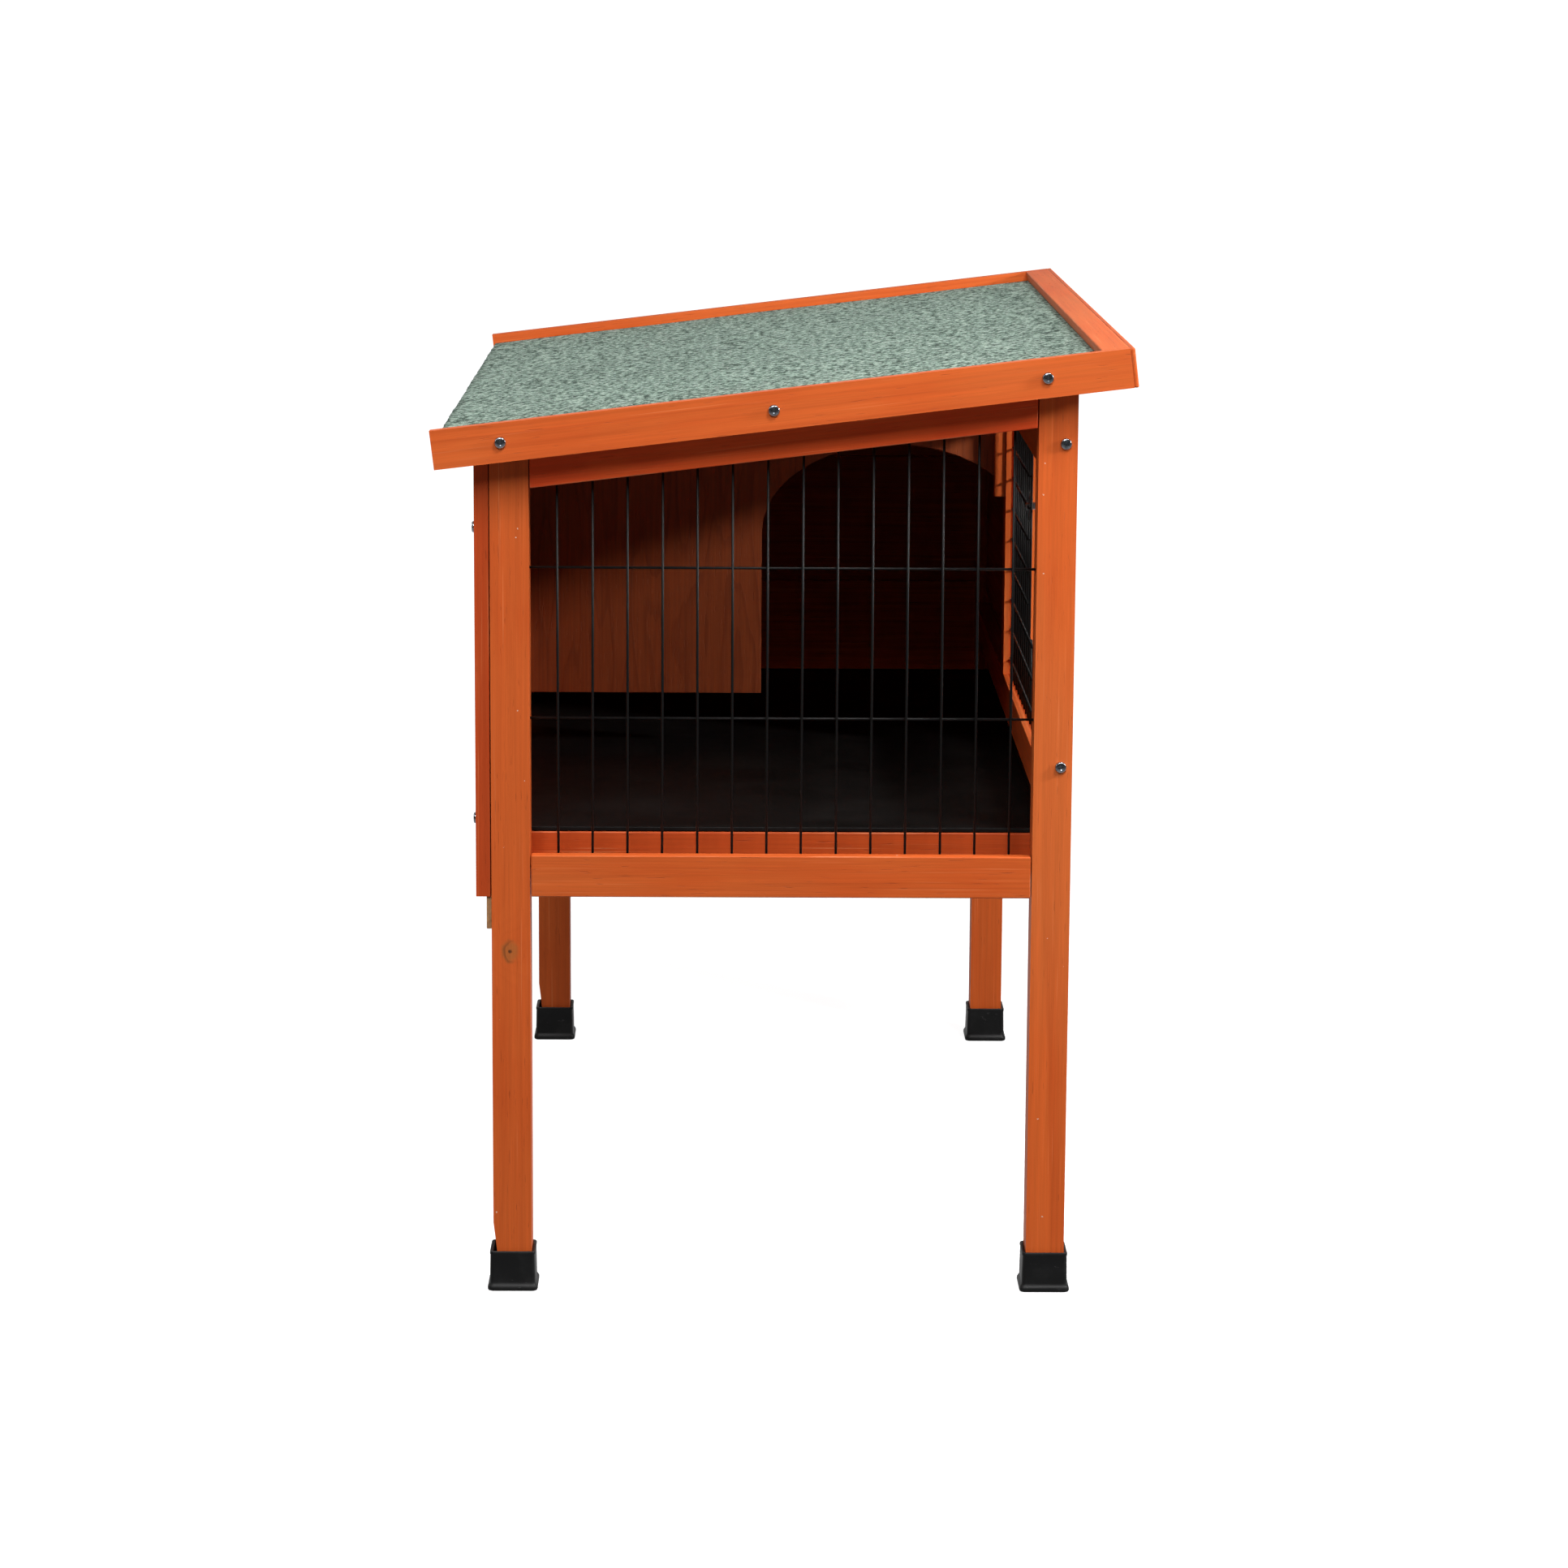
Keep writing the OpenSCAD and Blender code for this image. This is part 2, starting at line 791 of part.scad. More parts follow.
// A thin moulded tray with a low rim
module tray_floor() {
    reach = inner_x - 1.5;
    y0 = tray_front_y + tray_front_thickness;
    y1 = half_d - 1;
    rim = 2.5;
    color(black)
        difference() {
            block([-reach, y0, tray_z], [reach, y1, tray_z + tray_rim_height]);
            block([-reach + rim, y0 + rim, tray_z + tray_floor_thickness],
                  [reach - rim, y1 - rim, tray_z + 10]);
        }
}

module tray_front() {
    reach = inner_x - 1.5;
    color(stain)
        difference() {
            block([-reach, tray_front_y, tray_front_z],
                  [reach, tray_front_y + tray_front_thickness, front_rail_z - 2]);
            translate([0, tray_front_y + tray_front_thickness + 1, knob_z]) rotate([90, 0, 0])
                cylinder(h = tray_front_thickness + 2, r = 2.6);
        }
}

// Two strips under the tray that keep it flat
module tray_battens() {
    reach = inner_x - runner_width - 2;
    color(stain)
        for (y = [-185, 120])
            block([-reach, y, tray_z - 16], [reach, y + 20, tray_z]);
}

module tray_knob() {
    color(dark_stain)
        translate([0, tray_front_y, knob_z]) rotate([90, 0, 0]) {
            translate([0, 0, -tray_front_thickness]) cylinder(h = tray_front_thickness + 1, r = 2.5);
            cylinder(h = 9, r1 = 10, r2 = 7);
            translate([0, 0, 9]) cylinder(h = 4, r1 = 7, r2 = 13);
            translate([0, 0, 13]) cylinder(h = 5, r = 13);
            translate([0, 0, 18]) cylinder(h = 4, r1 = 13, r2 = 9);
        }
}

// ---------------------------------------------------------------- roof

// Holes for the screws in the roof
module drilled_roof() {
    difference() {
        children();
        at_rake_screws() screw_hole(34);
        at_roof_leaf_screws() screw_hole(8, small_hole_r);
    }
}

module roof_board() {
    color(ply) drilled_roof() on_roof()
        block([-rake_inner_x, -half_rake, roof_under], [rake_inner_x, board_back, board_top]);
}

module roof_felt() {
    color(felt_green) on_roof()
        block([-rake_inner_x, -half_rake, board_top], [rake_inner_x, felt_back, felt_top]);
}

module rake(side) {
    x0 = side < 0 ? -roof_length / 2 : rake_inner_x;
    color(stain) drilled_roof() on_roof()
        block([x0, -half_rake, 0], [x0 + rake_thickness, half_rake, rake_height]);
}

module left_rake() { rake(-1); }
module right_rake() { rake(1); }

module roof_front_batten() {
    color(stain) on_roof()
        block([-rake_inner_x, -half_rake, felt_top],
              [rake_inner_x, -half_rake + batten_width, rake_height]);
}

module roof_front_strip() {
    color(stain) on_roof()
        block([-roof_length / 2, -half_rake - strip_thickness, 0],
              [roof_length / 2, -half_rake, rake_height]);
}

module roof_hinge_frame_leaves() {
    color(steel)
        difference() {
            for (x = roof_hinge_x)
                translate([x, roof_hinge_y, roof_hinge_z]) rotate([-90, 0, 180])
                    hinge_leaf(roof_hinge_length, 26, 5, 0);
            at_frame_leaf_screws() screw_hole(4, small_hole_r);
        }
}

module roof_hinge_roof_leaves() {
    color(steel)
        difference() {
            for (x = roof_hinge_x)
                on_roof() translate([x, hinge_slope_y, hinge_slope_z])
                    hinge_leaf(roof_hinge_length, 17, 5, 1);
            at_roof_leaf_screws() screw_hole(4, small_hole_r);
        }
}

// ---------------------------------------------------------------- pins and screws

// A hinge pin along X, with a head at each end
module hinge_pin(length) {
    translate([-length / 2 - 0.6, 0, 0]) rotate([0, 90, 0]) {
        cylinder(h = length + 1.2, r = pin_r);
        translate([0, 0, -0.8]) cylinder(h = 1, r = 2.6);
        translate([0, 0, length + 1]) cylinder(h = 1, r = 2.6);
    }
}

module hinge_pins() {
    color(steel) {
        for (x = roof_hinge_x)
            translate([x, roof_hinge_y, roof_hinge_z]) hinge_pin(roof_hinge_length);
        for (z = nest_hinge_z)
            translate([nest_axis_x, nest_axis_y, z]) rotate([0, 90, 0]) hinge_pin(nest_hinge_length);
    }
}

module small_screw() { screw(9, small_head_r, small_screw_r); }

module frame_screws() {
    color(steel) {
        at_post_screws() screw(48);
        at_back_screws() screw(26);
        at_frame_leaf_screws() small_screw();
        at_nest_leaf_screws(1) small_screw();
        at_keeper_screws() small_screw();
    }
}

module roof_screws() {
    color(steel) {
        at_rake_screws() screw(32);
        at_roof_leaf_screws() screw(7, small_head_r, small_screw_r);
    }
}

module door_screws() {
    color(steel) {
        at_nest_leaf_screws(-1) small_screw();
        at_bolt_screws() small_screw();
    }
}

// ---------------------------------------------------------------- output
post_front_left();
post_front_right();
post_back_left();
post_back_right();
foot_cap_front_left();
foot_cap_front_right();
foot_cap_back_left();
foot_cap_back_right();
left_bottom_rail();
left_top_rail();
left_tray_runner();
left_wire_panel();
right_bottom_rail();
right_top_rail();
right_tray_runner();
right_wall_board_lower();
right_wall_board_middle();
right_wall_board_upper();
front_top_rail();
front_bottom_rail();
middle_stile();
front_wire_panel();
wire_door();
wire_door_clips();
wire_latch_base();
wire_latch_blade();
nest_door_left_stile();
nest_door_right_stile();
nest_door_top_rail();
nest_door_bottom_rail();
nest_door_panel();
nest_hinge_post_leaves();
nest_hinge_door_leaves();
bolt_plate();
bolt_rod();
bolt_keeper();
rear_ledger();
rear_top_rail();
back_board_1();
back_board_2();
back_board_3();
back_board_4();
back_board_5();
back_board_6();
back_board_7();
rear_plywood_strip();
partition();
partition_batten();
tray_floor();
tray_front();
tray_battens();
tray_knob();
roof_board();
roof_felt();
left_rake();
right_rake();
roof_front_batten();
roof_front_strip();
roof_hinge_frame_leaves();
roof_hinge_roof_leaves();
hinge_pins();
frame_screws();
roof_screws();
door_screws();
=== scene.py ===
import json
import math
import random

import bmesh
import bpy
import numpy as np
from mathutils import Matrix, Vector


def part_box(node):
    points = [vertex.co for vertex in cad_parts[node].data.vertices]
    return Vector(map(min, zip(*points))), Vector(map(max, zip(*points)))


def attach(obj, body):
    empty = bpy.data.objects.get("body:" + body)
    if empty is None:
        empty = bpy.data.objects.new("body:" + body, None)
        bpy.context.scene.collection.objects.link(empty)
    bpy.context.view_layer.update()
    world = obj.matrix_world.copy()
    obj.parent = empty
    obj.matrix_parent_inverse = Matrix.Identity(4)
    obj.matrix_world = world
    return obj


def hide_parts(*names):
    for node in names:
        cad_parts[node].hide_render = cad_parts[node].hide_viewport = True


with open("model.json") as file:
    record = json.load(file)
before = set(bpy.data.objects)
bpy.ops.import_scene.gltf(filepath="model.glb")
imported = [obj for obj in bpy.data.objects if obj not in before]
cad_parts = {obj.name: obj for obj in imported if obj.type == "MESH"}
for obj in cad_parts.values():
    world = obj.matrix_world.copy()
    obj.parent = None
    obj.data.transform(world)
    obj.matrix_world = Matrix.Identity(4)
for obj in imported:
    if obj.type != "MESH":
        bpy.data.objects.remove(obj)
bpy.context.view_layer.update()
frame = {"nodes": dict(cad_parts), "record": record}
nodes = frame["nodes"]
scene = bpy.context.scene
body_of_node = {n: b for b, members in frame["record"]["behaviour"]["bodies"].items() for n in members}

MM = 0.001
ROOF_SLOPE = math.radians(7)


# ------------------------------------------------------------------ camera

CAMERA_PLACE = Vector((-3.835, 0.040, 1.0287))
CAMERA_YAW = math.radians(-0.705)
CAMERA_PITCH = math.radians(10.36)
CAMERA_ROLL = math.radians(0.351)
CAMERA_LENS = 102.5
SENSOR_WIDTH = 36
SIGHT_END = 50


def make_camera():
    """The camera looks along +X at the wired end, a little downwards."""
    forward = Vector((math.cos(CAMERA_PITCH) * math.cos(CAMERA_YAW),
                      math.cos(CAMERA_PITCH) * math.sin(CAMERA_YAW), -math.sin(CAMERA_PITCH)))
    level = forward.cross(Vector((0, 0, 1))).normalized()
    upright = level.cross(forward)
    right = level * math.cos(CAMERA_ROLL) + upright * math.sin(CAMERA_ROLL)
    up = right.cross(forward)
    data = bpy.data.cameras.new("camera")
    data.lens = CAMERA_LENS
    data.sensor_width = SENSOR_WIDTH
    data.clip_end = SIGHT_END
    camera = bpy.data.objects.new("camera", data)
    turn = Matrix((right, up, -forward)).transposed().to_4x4()
    camera.matrix_world = Matrix.Translation(CAMERA_PLACE) @ turn
    scene.collection.objects.link(camera)
    scene.camera = camera


make_camera()


# ------------------------------------------------------------------ node trees

class Tree:
    """A material under construction; each method adds nodes and returns an output."""

    def __init__(self, name):
        self.mat = bpy.data.materials.new(name)
        self.mat.use_nodes = True
        self.nt = self.mat.node_tree
        self.nt.nodes.clear()
        self.out = self.nt.nodes.new("ShaderNodeOutputMaterial")

    def node(self, kind, inputs=(), **settings):
        n = self.nt.nodes.new("ShaderNode" + kind)
        for key, value in settings.items():
            setattr(n, key, value)
        for key, value in dict(inputs).items():
            if isinstance(value, bpy.types.NodeSocket):
                self.nt.links.new(value, n.inputs[key])
            elif value is not None:
                n.inputs[key].default_value = value
        return n

    def math(self, op, a, b=None):
        return self.node("Math", {0: a, 1: b}, operation=op).outputs[0]

    def add(self, a, b):
        return self.math("ADD", a, b)

    def mul(self, a, b):
        return self.math("MULTIPLY", a, b)

    def larger(self, a, b):
        return self.math("MAXIMUM", a, b)

    def above(self, value, limit):
        return self.math("GREATER_THAN", value, limit)

    def below(self, value, limit):
        return self.math("LESS_THAN", value, limit)

    def rest(self, value):
        """What the value leaves of 1."""
        return self.math("SUBTRACT", 1.0, value)

    def swing(self, value, amount):
        """The value's swing about 0.5, times an amount."""
        return self.mul(self.add(value, -0.5), amount)

    def length(self, x, y):
        return self.math("SQRT", self.add(self.mul(x, x), self.mul(y, y)))

    def step(self, value, low, high):
        """0 below low, 1 above high, smooth between."""
        n = self.node("MapRange", {0: value, 1: low, 2: high}, interpolation_type="SMOOTHSTEP")
        return n.outputs[0]

    def hump(self, value, rise, fall):
        """0 up to the rise, 1 from its end to the fall, 0 after that."""
        return self.mul(self.step(value, *rise), self.rest(self.step(value, *fall)))

    def mix(self, factor, a, b, blend="MIX"):
        n = self.node("Mix", {0: factor, 6: a, 7: b}, data_type="RGBA", blend_type=blend)
        return n.outputs[2]

    def shade(self, colour, light):
        """The colour times a brightness."""
        grey = self.node("CombineXYZ", {0: light, 1: light, 2: light}).outputs[0]
        return self.mix(1.0, colour, grey, "MULTIPLY")

    def attribute(self, name, output="Vector"):
        return self.node("Attribute", attribute_name=name).outputs[output]

    def place(self):
        return self.node("TexCoord").outputs["Object"]

    def split(self, vector):
        return self.node("SeparateXYZ", {0: vector}).outputs

    def vector(self, op, a, b=None):
        return self.node("VectorMath", {0: a, 1: b}, operation=op).outputs

    def noise(self, vector, scale, detail=2.0, rough=0.5, distortion=0.0):
        n = self.node("TexNoise", {"Vector": vector, "Scale": scale, "Detail": detail,
                                   "Roughness": rough, "Distortion": distortion})
        return n.outputs["Fac"]

    def drawn(self, vector, scales, detail=2.0, rough=0.5, distortion=0.0):
        """Noise with a scale of its own along each axis."""
        return self.noise(self.vector("MULTIPLY", vector, scales)[0], 1, detail, rough, distortion)

    def cells(self, vector, scale):
        return self.node("TexVoronoi", {"Vector": vector, "Scale": scale}, feature="F1").outputs

    def bump(self, height, distance, strength):
        return self.node("Bump", {"Height": height, "Distance": distance, "Strength": strength}).outputs[0]

    def shader(self, inputs):
        n = self.node("BsdfPrincipled", inputs)
        self.nt.links.new(n.outputs[0], self.out.inputs[0])
        return self.mat


# ------------------------------------------------------------------ materials

FIR = {
    "early": (0.640, 0.115, 0.020, 1),
    "late": (0.42, 0.054, 0.009, 1),
    "stain": (0.57, 0.078, 0.011, 1),
    "brown": (0.60, 0.140, 0.032, 1),
    "red": (0.47, 0.046, 0.007, 1),
    "streak": (0.80, 0.27, 0.105, 1),
    "knot": (0.42, 0.13, 0.03, 1),
    "knot_heart": (0.13, 0.04, 0.012, 1),
    # Pale edge colour: partly rubbed wear, partly a painted highlight along the arrises
    "worn": (0.80, 0.30, 0.14, 1),
    "chip": (0.80, 0.64, 0.50, 1),
}
RING_WIDTH = 0.0036
RING_BEND = 0.009


def stained_fir(name, knots=()):
    """Orange-stained softwood. The mesh carries its own grain coordinates, in metres:
    u and v across the grain from the tree's heart, w along it. A knot is v, w and a size."""
    t = Tree(name)
    grain = t.attribute("grain")
    edge = t.attribute("edge", "Fac")
    tone = t.attribute("tone", "Fac")
    redness = t.attribute("red", "Fac")
    u, v, w = t.split(grain)

    bent_u = t.add(u, t.swing(t.drawn(grain, (8, 8, 1.2), 1), RING_BEND))
    bent_v = t.add(v, t.swing(t.drawn(grain, (12, 12, 1.7), 1), RING_BEND))
    fine = t.drawn(grain, (90, 90, 4))
    ring = t.add(t.mul(t.length(bent_u, bent_v), 1 / RING_WIDTH), t.mul(fine, 0.5))

    knot_face = 0.0
    knot_heart = 0.0
    for knot_v, knot_w, size in knots:
        across = t.add(v, -knot_v)
        along = t.mul(t.add(w, -knot_w), 0.8)
        wobble = t.swing(t.drawn(grain, (160, 160, 160)), size * 0.5)
        gap = t.add(t.length(across, along), wobble)
        near = t.math("EXPONENT", t.mul(t.mul(gap, gap), -1 / (2.2 * size) ** 2))
        ring = t.add(ring, t.mul(near, 3.2))
        knot_face = t.larger(knot_face, t.rest(t.step(gap, size * 0.55, size * 1.15)))
        knot_heart = t.larger(knot_heart, t.rest(t.step(gap, size * 0.08, size * 0.24)))

    late_band = t.hump(t.math("FRACT", ring), (0.45, 0.86), (0.9, 1.0))
    band_strength = t.step(t.drawn(grain, (40, 40, 1.5)), 0.40, 0.74)
    late_mask = t.mul(late_band, t.add(t.mul(band_strength, 0.36), 0.06))

    fibre = t.drawn(grain, (1500, 1500, 22), 2, 0.6)
    streak = t.drawn(grain, (260, 260, 5), 2, 0.6)
    blotch = t.drawn(grain, (26, 26, 8), 3, 0.55)
    drift = t.drawn(grain, (13, 13, 3.4))
    pale = t.step(t.drawn(grain, (620, 620, 7), 2, 0.6), 0.60, 0.72)
    tick = t.step(t.drawn(grain, (820, 820, 55), 1), 0.69, 0.76)

    colour = t.mix(late_mask, FIR["early"], FIR["late"])
    colour = t.mix(t.mul(t.step(blotch, 0.42, 0.70), 0.45), colour, FIR["stain"])
    colour = t.mix(t.mul(t.step(drift, 0.48, 0.70), 0.55), colour, FIR["brown"])
    red_share = t.add(t.mul(t.step(blotch, 0.66, 0.40), 0.35), 0.65)
    colour = t.mix(t.mul(redness, red_share), colour, FIR["red"])
    pale_share = t.mul(t.step(streak, 0.40, 0.60), 0.38)
    colour = t.mix(t.mul(pale, pale_share), colour, FIR["streak"])
    colour = t.mix(t.mul(knot_face, 0.75), colour, FIR["knot"])
    knot_rings = t.mul(t.mul(late_band, knot_face), 0.5)
    colour = t.mix(t.larger(knot_heart, knot_rings), colour, FIR["knot_heart"])
    light = t.add(t.add(t.swing(streak, 0.34), 1.0), t.swing(fibre, 0.26))
    colour = t.shade(colour, t.mul(light, t.add(tone, t.mul(tick, -0.22))))

    # Paler colour on the crests of the eased edges, broken up by noise: partly wear, partly painted
    # highlight
    worn = t.mul(edge, t.step(t.drawn(grain, (60, 60, 14), 3), 0.46, 0.66))
    colour = t.mix(t.mul(worn, 0.6), colour, FIR["worn"])

    chip = t.cells(grain, 80)
    rare = t.above(t.split(chip["Color"])[0], 0.83)
    ragged = t.mul(t.drawn(grain, (700, 700, 420), 2, 0.7), 0.16)
    speck = t.mul(rare, t.below(t.add(chip["Distance"], ragged), 0.125))
    colour = t.mix(t.mul(speck, 0.8), colour, FIR["chip"])

    rough = t.add(t.mul(fibre, 0.14), t.add(0.47, t.mul(late_mask, -0.08)))
    height = t.add(t.mul(fibre, 0.55), t.add(t.mul(late_mask, 0.7), t.mul(streak, 0.5)))
    height = t.add(height, t.add(t.mul(tick, -0.8), t.mul(speck, -0.6)))
    return t.shader({"Base Color": colour, "Roughness": rough, "Specular IOR Level": 0.2,
                     "Normal": t.bump(height, 0.00022, 0.55)})


PLIES = 3
CUT_PALE = (0.55, 0.30, 0.14, 1)
CUT_DARK = (0.34, 0.15, 0.06, 1)
GLUE_LINE = (0.07, 0.03, 0.015, 1)


def plywood(name, face, dark, thickness):
    """Rotary-cut veneer with its grain along w; the cut edges show the plies."""
    t = Tree(name)
    grain = t.attribute("grain")
    depth = t.split(grain)[0]
    flow = t.drawn(grain, (14, 14, 2), 3, 0.55)
    ring = t.add(t.mul(flow, 13), t.mul(t.drawn(grain, (120, 120, 6)), 0.9))
    late = t.hump(t.math("FRACT", ring), (0.5, 0.9), (0.92, 1.0))
    streak = t.drawn(grain, (420, 420, 9), 3, 0.65)
    pore = t.step(t.drawn(grain, (1100, 1100, 80), 1), 0.66, 0.74)
    colour = t.mix(t.add(t.mul(late, 0.4), t.mul(pore, 0.4)), face, dark)
    colour = t.shade(colour, t.add(t.swing(streak, 0.7), 1.0))

    line = t.below(t.math("FRACT", t.mul(depth, PLIES / thickness)), 0.16)
    alternate = t.above(t.math("FRACT", t.mul(depth, PLIES / thickness / 2)), 0.5)
    cut = t.mix(t.mul(alternate, 0.5), CUT_PALE, CUT_DARK)
    cut = t.mix(t.mul(line, 0.8), cut, GLUE_LINE)
    colour = t.mix(t.attribute("cut", "Fac"), colour, cut)
    height = t.add(t.mul(streak, 0.8), t.add(t.mul(pore, -0.9), t.mul(late, 0.4)))
    return t.shader({"Base Color": colour, "Roughness": t.add(t.mul(streak, 0.16), 0.5),
                     "Specular IOR Level": 0.35, "Normal": t.bump(height, 0.0003, 0.6)})


FELT = {
    "dark_granule": (0.105, 0.185, 0.138, 1),
    "light_granule": (0.400, 0.530, 0.440, 1),
    "clump": (0.50, 0.62, 0.53, 1),
    "pale_granule": (0.72, 0.76, 0.70, 1),
    "hole": (0.030, 0.058, 0.042, 1),
    "seam": (0.024, 0.042, 0.031, 1),
}
GRANULES_PER_METRE = 520
GRANULE_WARP = 0.0016


def mineral_felt():
    """Bitumen felt with pressed green granules: light and dark grains and open seams."""
    t = Tree("mineral_felt")
    place = t.place()
    drift = t.node("TexNoise", {"Vector": place, "Scale": 380, "Detail": 1}).outputs["Color"]
    warp = t.vector("MULTIPLY", drift, (GRANULE_WARP, GRANULE_WARP, GRANULE_WARP))[0]
    warped = t.vector("ADD", place, warp)[0]
    grain = t.cells(warped, GRANULES_PER_METRE)
    pick = t.split(grain["Color"])
    seam = t.step(grain["Distance"], 0.42, 0.8)
    clump = t.noise(warped, 190, 2, 0.65)
    patch = t.noise(place, 9, 4, 0.6)
    hole = t.step(clump, 0.53, 0.58)
    colour = t.mix(pick[0], FELT["dark_granule"], FELT["light_granule"])
    colour = t.mix(t.mul(t.step(clump, 0.48, 0.40), 0.75), colour, FELT["clump"])
    colour = t.mix(t.mul(t.above(pick[1], 0.95), 0.75), colour, FELT["pale_granule"])
    colour = t.mix(t.mul(hole, 0.95), colour, FELT["hole"])
    colour = t.mix(t.mul(seam, 0.45), colour, FELT["seam"])
    colour = t.shade(colour, t.add(t.mul(patch, 0.34), 0.735))
    height = t.add(t.mul(grain["Distance"], -0.8), t.mul(hole, -1.2))
    return t.shader({"Base Color": colour, "Roughness": t.add(0.78, t.mul(pick[0], 0.15)),
                     "Specular IOR Level": 0.3, "Normal": t.bump(height, 0.0006, 0.8)})


def black_plastic():
    """Moulded plastic with a fine texture, dust and a few pale scuffs."""
    t = Tree("black_plastic")
    place = t.place()
    dust = t.noise(place, 60, 4, 0.6)
    scuff = t.hump(t.drawn(place, (60, 90, 320), 2, 0.5, 1.5), (0.70, 0.735), (0.735, 0.77))
    tooth = t.noise(place, 2600, 2, 0.6)
    colour = t.mix(t.step(dust, 0.45, 0.8), (0.0070, 0.0070, 0.0073, 1), (0.014, 0.014, 0.014, 1))
    colour = t.mix(t.mul(scuff, 0.5), colour, (0.07, 0.07, 0.072, 1))
    height = t.add(tooth, t.mul(scuff, -0.5))
    return t.shader({"Base Color": colour, "Roughness": t.add(0.36, t.mul(dust, 0.22)),
                     "Specular IOR Level": 0.28, "Normal": t.bump(height, 0.00008, 0.5)})


def black_sheet():
    """The tray: a dark pressed sheet with a pebbled face and a little dust."""
    t = Tree("black_sheet")
    place = t.place()
    dust = t.noise(place, 18, 5, 0.65)
    speck = t.step(t.noise(place, 900, 2, 0.6), 0.66, 0.74)
    tooth = t.noise(place, 1500, 3, 0.6)
    dusted = t.step(dust, 0.4, 0.8)
    colour = t.mix(dusted, (0.0034, 0.0028, 0.0025, 1), (0.0080, 0.0066, 0.0058, 1))
    colour = t.mix(t.mul(speck, 0.5), colour, (0.045, 0.040, 0.036, 1))
    return t.shader({"Base Color": colour, "Roughness": t.add(0.42, t.mul(dust, 0.28)),
                     "Specular IOR Level": 0.18, "Normal": t.bump(tooth, 0.00015, 0.6)})


def black_wire():
    """Black powder coat on wire, a little worn."""
    t = Tree("black_wire")
    place = t.place()
    peel = t.noise(place, 1400, 2, 0.6)
    worn = t.step(t.noise(place, 240, 3, 0.7), 0.70, 0.80)
    colour = t.mix(t.mul(worn, 0.5), (0.0060, 0.0062, 0.0062, 1), (0.030, 0.030, 0.029, 1))
    return t.shader({"Base Color": colour, "Roughness": t.add(0.42, t.mul(worn, 0.2)),
                     "Specular IOR Level": 0.2, "Normal": t.bump(peel, 0.0001, 0.5)})


def zinc(name, bright, stained, polish):
    """Zinc plating, a little brushed, with darker stains."""
    t = Tree(name)
    place = t.place()
    cloud = t.noise(place, 260, 4, 0.65)
    brush = t.drawn(place, (2600, 2600, 300), 2, 0.6)
    colour = t.mix(t.step(cloud, 0.35, 0.75), bright, stained)
    height = t.add(brush, t.mul(cloud, 0.8))
    return t.shader({"Base Color": colour, "Roughness": t.add(polish, t.mul(cloud, 0.22)),
                     "Metallic": 1.0, "Normal": t.bump(height, 0.00006, 0.5)})


fir = stained_fir("stained_fir")
ply_face = plywood("stained_plywood", (0.36, 0.072, 0.016, 1), (0.22, 0.038, 0.008, 1), 0.006)
ply_bare = plywood("bare_plywood", (0.50, 0.27, 0.12, 1), (0.28, 0.12, 0.045, 1), 0.004)
felt_material = mineral_felt()
plastic = black_plastic()
sheet_material = black_sheet()
wire_material = black_wire()
steel = zinc("zinc_plate", (0.56, 0.57, 0.59, 1), (0.33, 0.34, 0.36, 1), 0.24)
screw_steel = zinc("screw_zinc", (0.50, 0.53, 0.57, 1), (0.22, 0.24, 0.28, 1), 0.10)


# ------------------------------------------------------------------ mesh helpers

SAME_POINT = 0.00002
SHARP_ANGLE = math.radians(30)
WOOD_EDGE = 1.1 * MM
PLY_EDGE = 0.4 * MM
METAL_EDGE = 0.25 * MM
TRAY_EDGE = 0.6 * MM


def new_object(name, bm, material):
    """A smooth-shaded object with the mesh and one material."""
    mesh = bpy.data.meshes.new(name)
    bm.normal_update()
    bm.to_mesh(mesh)
    bm.free()
    for face in mesh.polygons:
        face.use_smooth = True
    mesh.materials.append(material)
    piece = bpy.data.objects.new(name, mesh)
    scene.collection.objects.link(piece)
    return piece


def new_piece(name, bm, material, node):
    """An object that rides where the CAD node does, and stands for it."""
    piece = new_object(name, bm, material)
    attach(piece, body_of_node[node])
    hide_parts(node)
    return piece


def cad_copy(node):
    """The CAD node's own faces as one clean shell."""
    bm = bmesh.new()
    bm.from_mesh(nodes[node].data)
    bmesh.ops.remove_doubles(bm, verts=bm.verts, dist=SAME_POINT)
    bmesh.ops.dissolve_limit(bm, angle_limit=math.radians(1), verts=bm.verts, edges=bm.edges)
    return bm


def ease_edges(bm, width, segments=2):
    """Rounds the sharp edges and marks the crest of each rounding for the pale edge colour, partly wear
    and partly painted highlight.
    """
    worn = bm.verts.layers.float.new("edge")
    sharp = [e for e in bm.edges if e.is_manifold and e.calc_face_angle(0) > SHARP_ANGLE]
    done = bmesh.ops.bevel(bm, geom=sharp, offset=width, segments=segments, profile=0.6,
                           affect="EDGES", clamp_overlap=True)
    rounded = set(done["faces"])
    for face in rounded:
        for vert in face.verts:
            if rounded.issuperset(vert.link_faces):
                vert[worn] = 1.0
    return bm


def weigh_normals(piece):
    piece.modifiers.new("normals", "WEIGHTED_NORMAL").keep_sharp = False


def set_attribute(piece, name, values, kind="FLOAT"):
    attribute = piece.data.attributes.new(name, kind, "POINT")
    field = "vector" if kind == "FLOAT_VECTOR" else "value"
    attribute.data.foreach_set(field, np.asarray(values, np.float32).ravel())


def points_of(piece):
    co = np.zeros(len(piece.data.vertices) * 3, np.float32)
    piece.data.vertices.foreach_get("co", co)
    return co.reshape(-1, 3).astype(np.float64)


def to_slope(y, z):
    """From the frame's y and z to the roof's, in which the roof is level."""
    c, s = math.cos(ROOF_SLOPE), math.sin(ROOF_SLOPE)
    return y * c - z * s, y * s + z * c


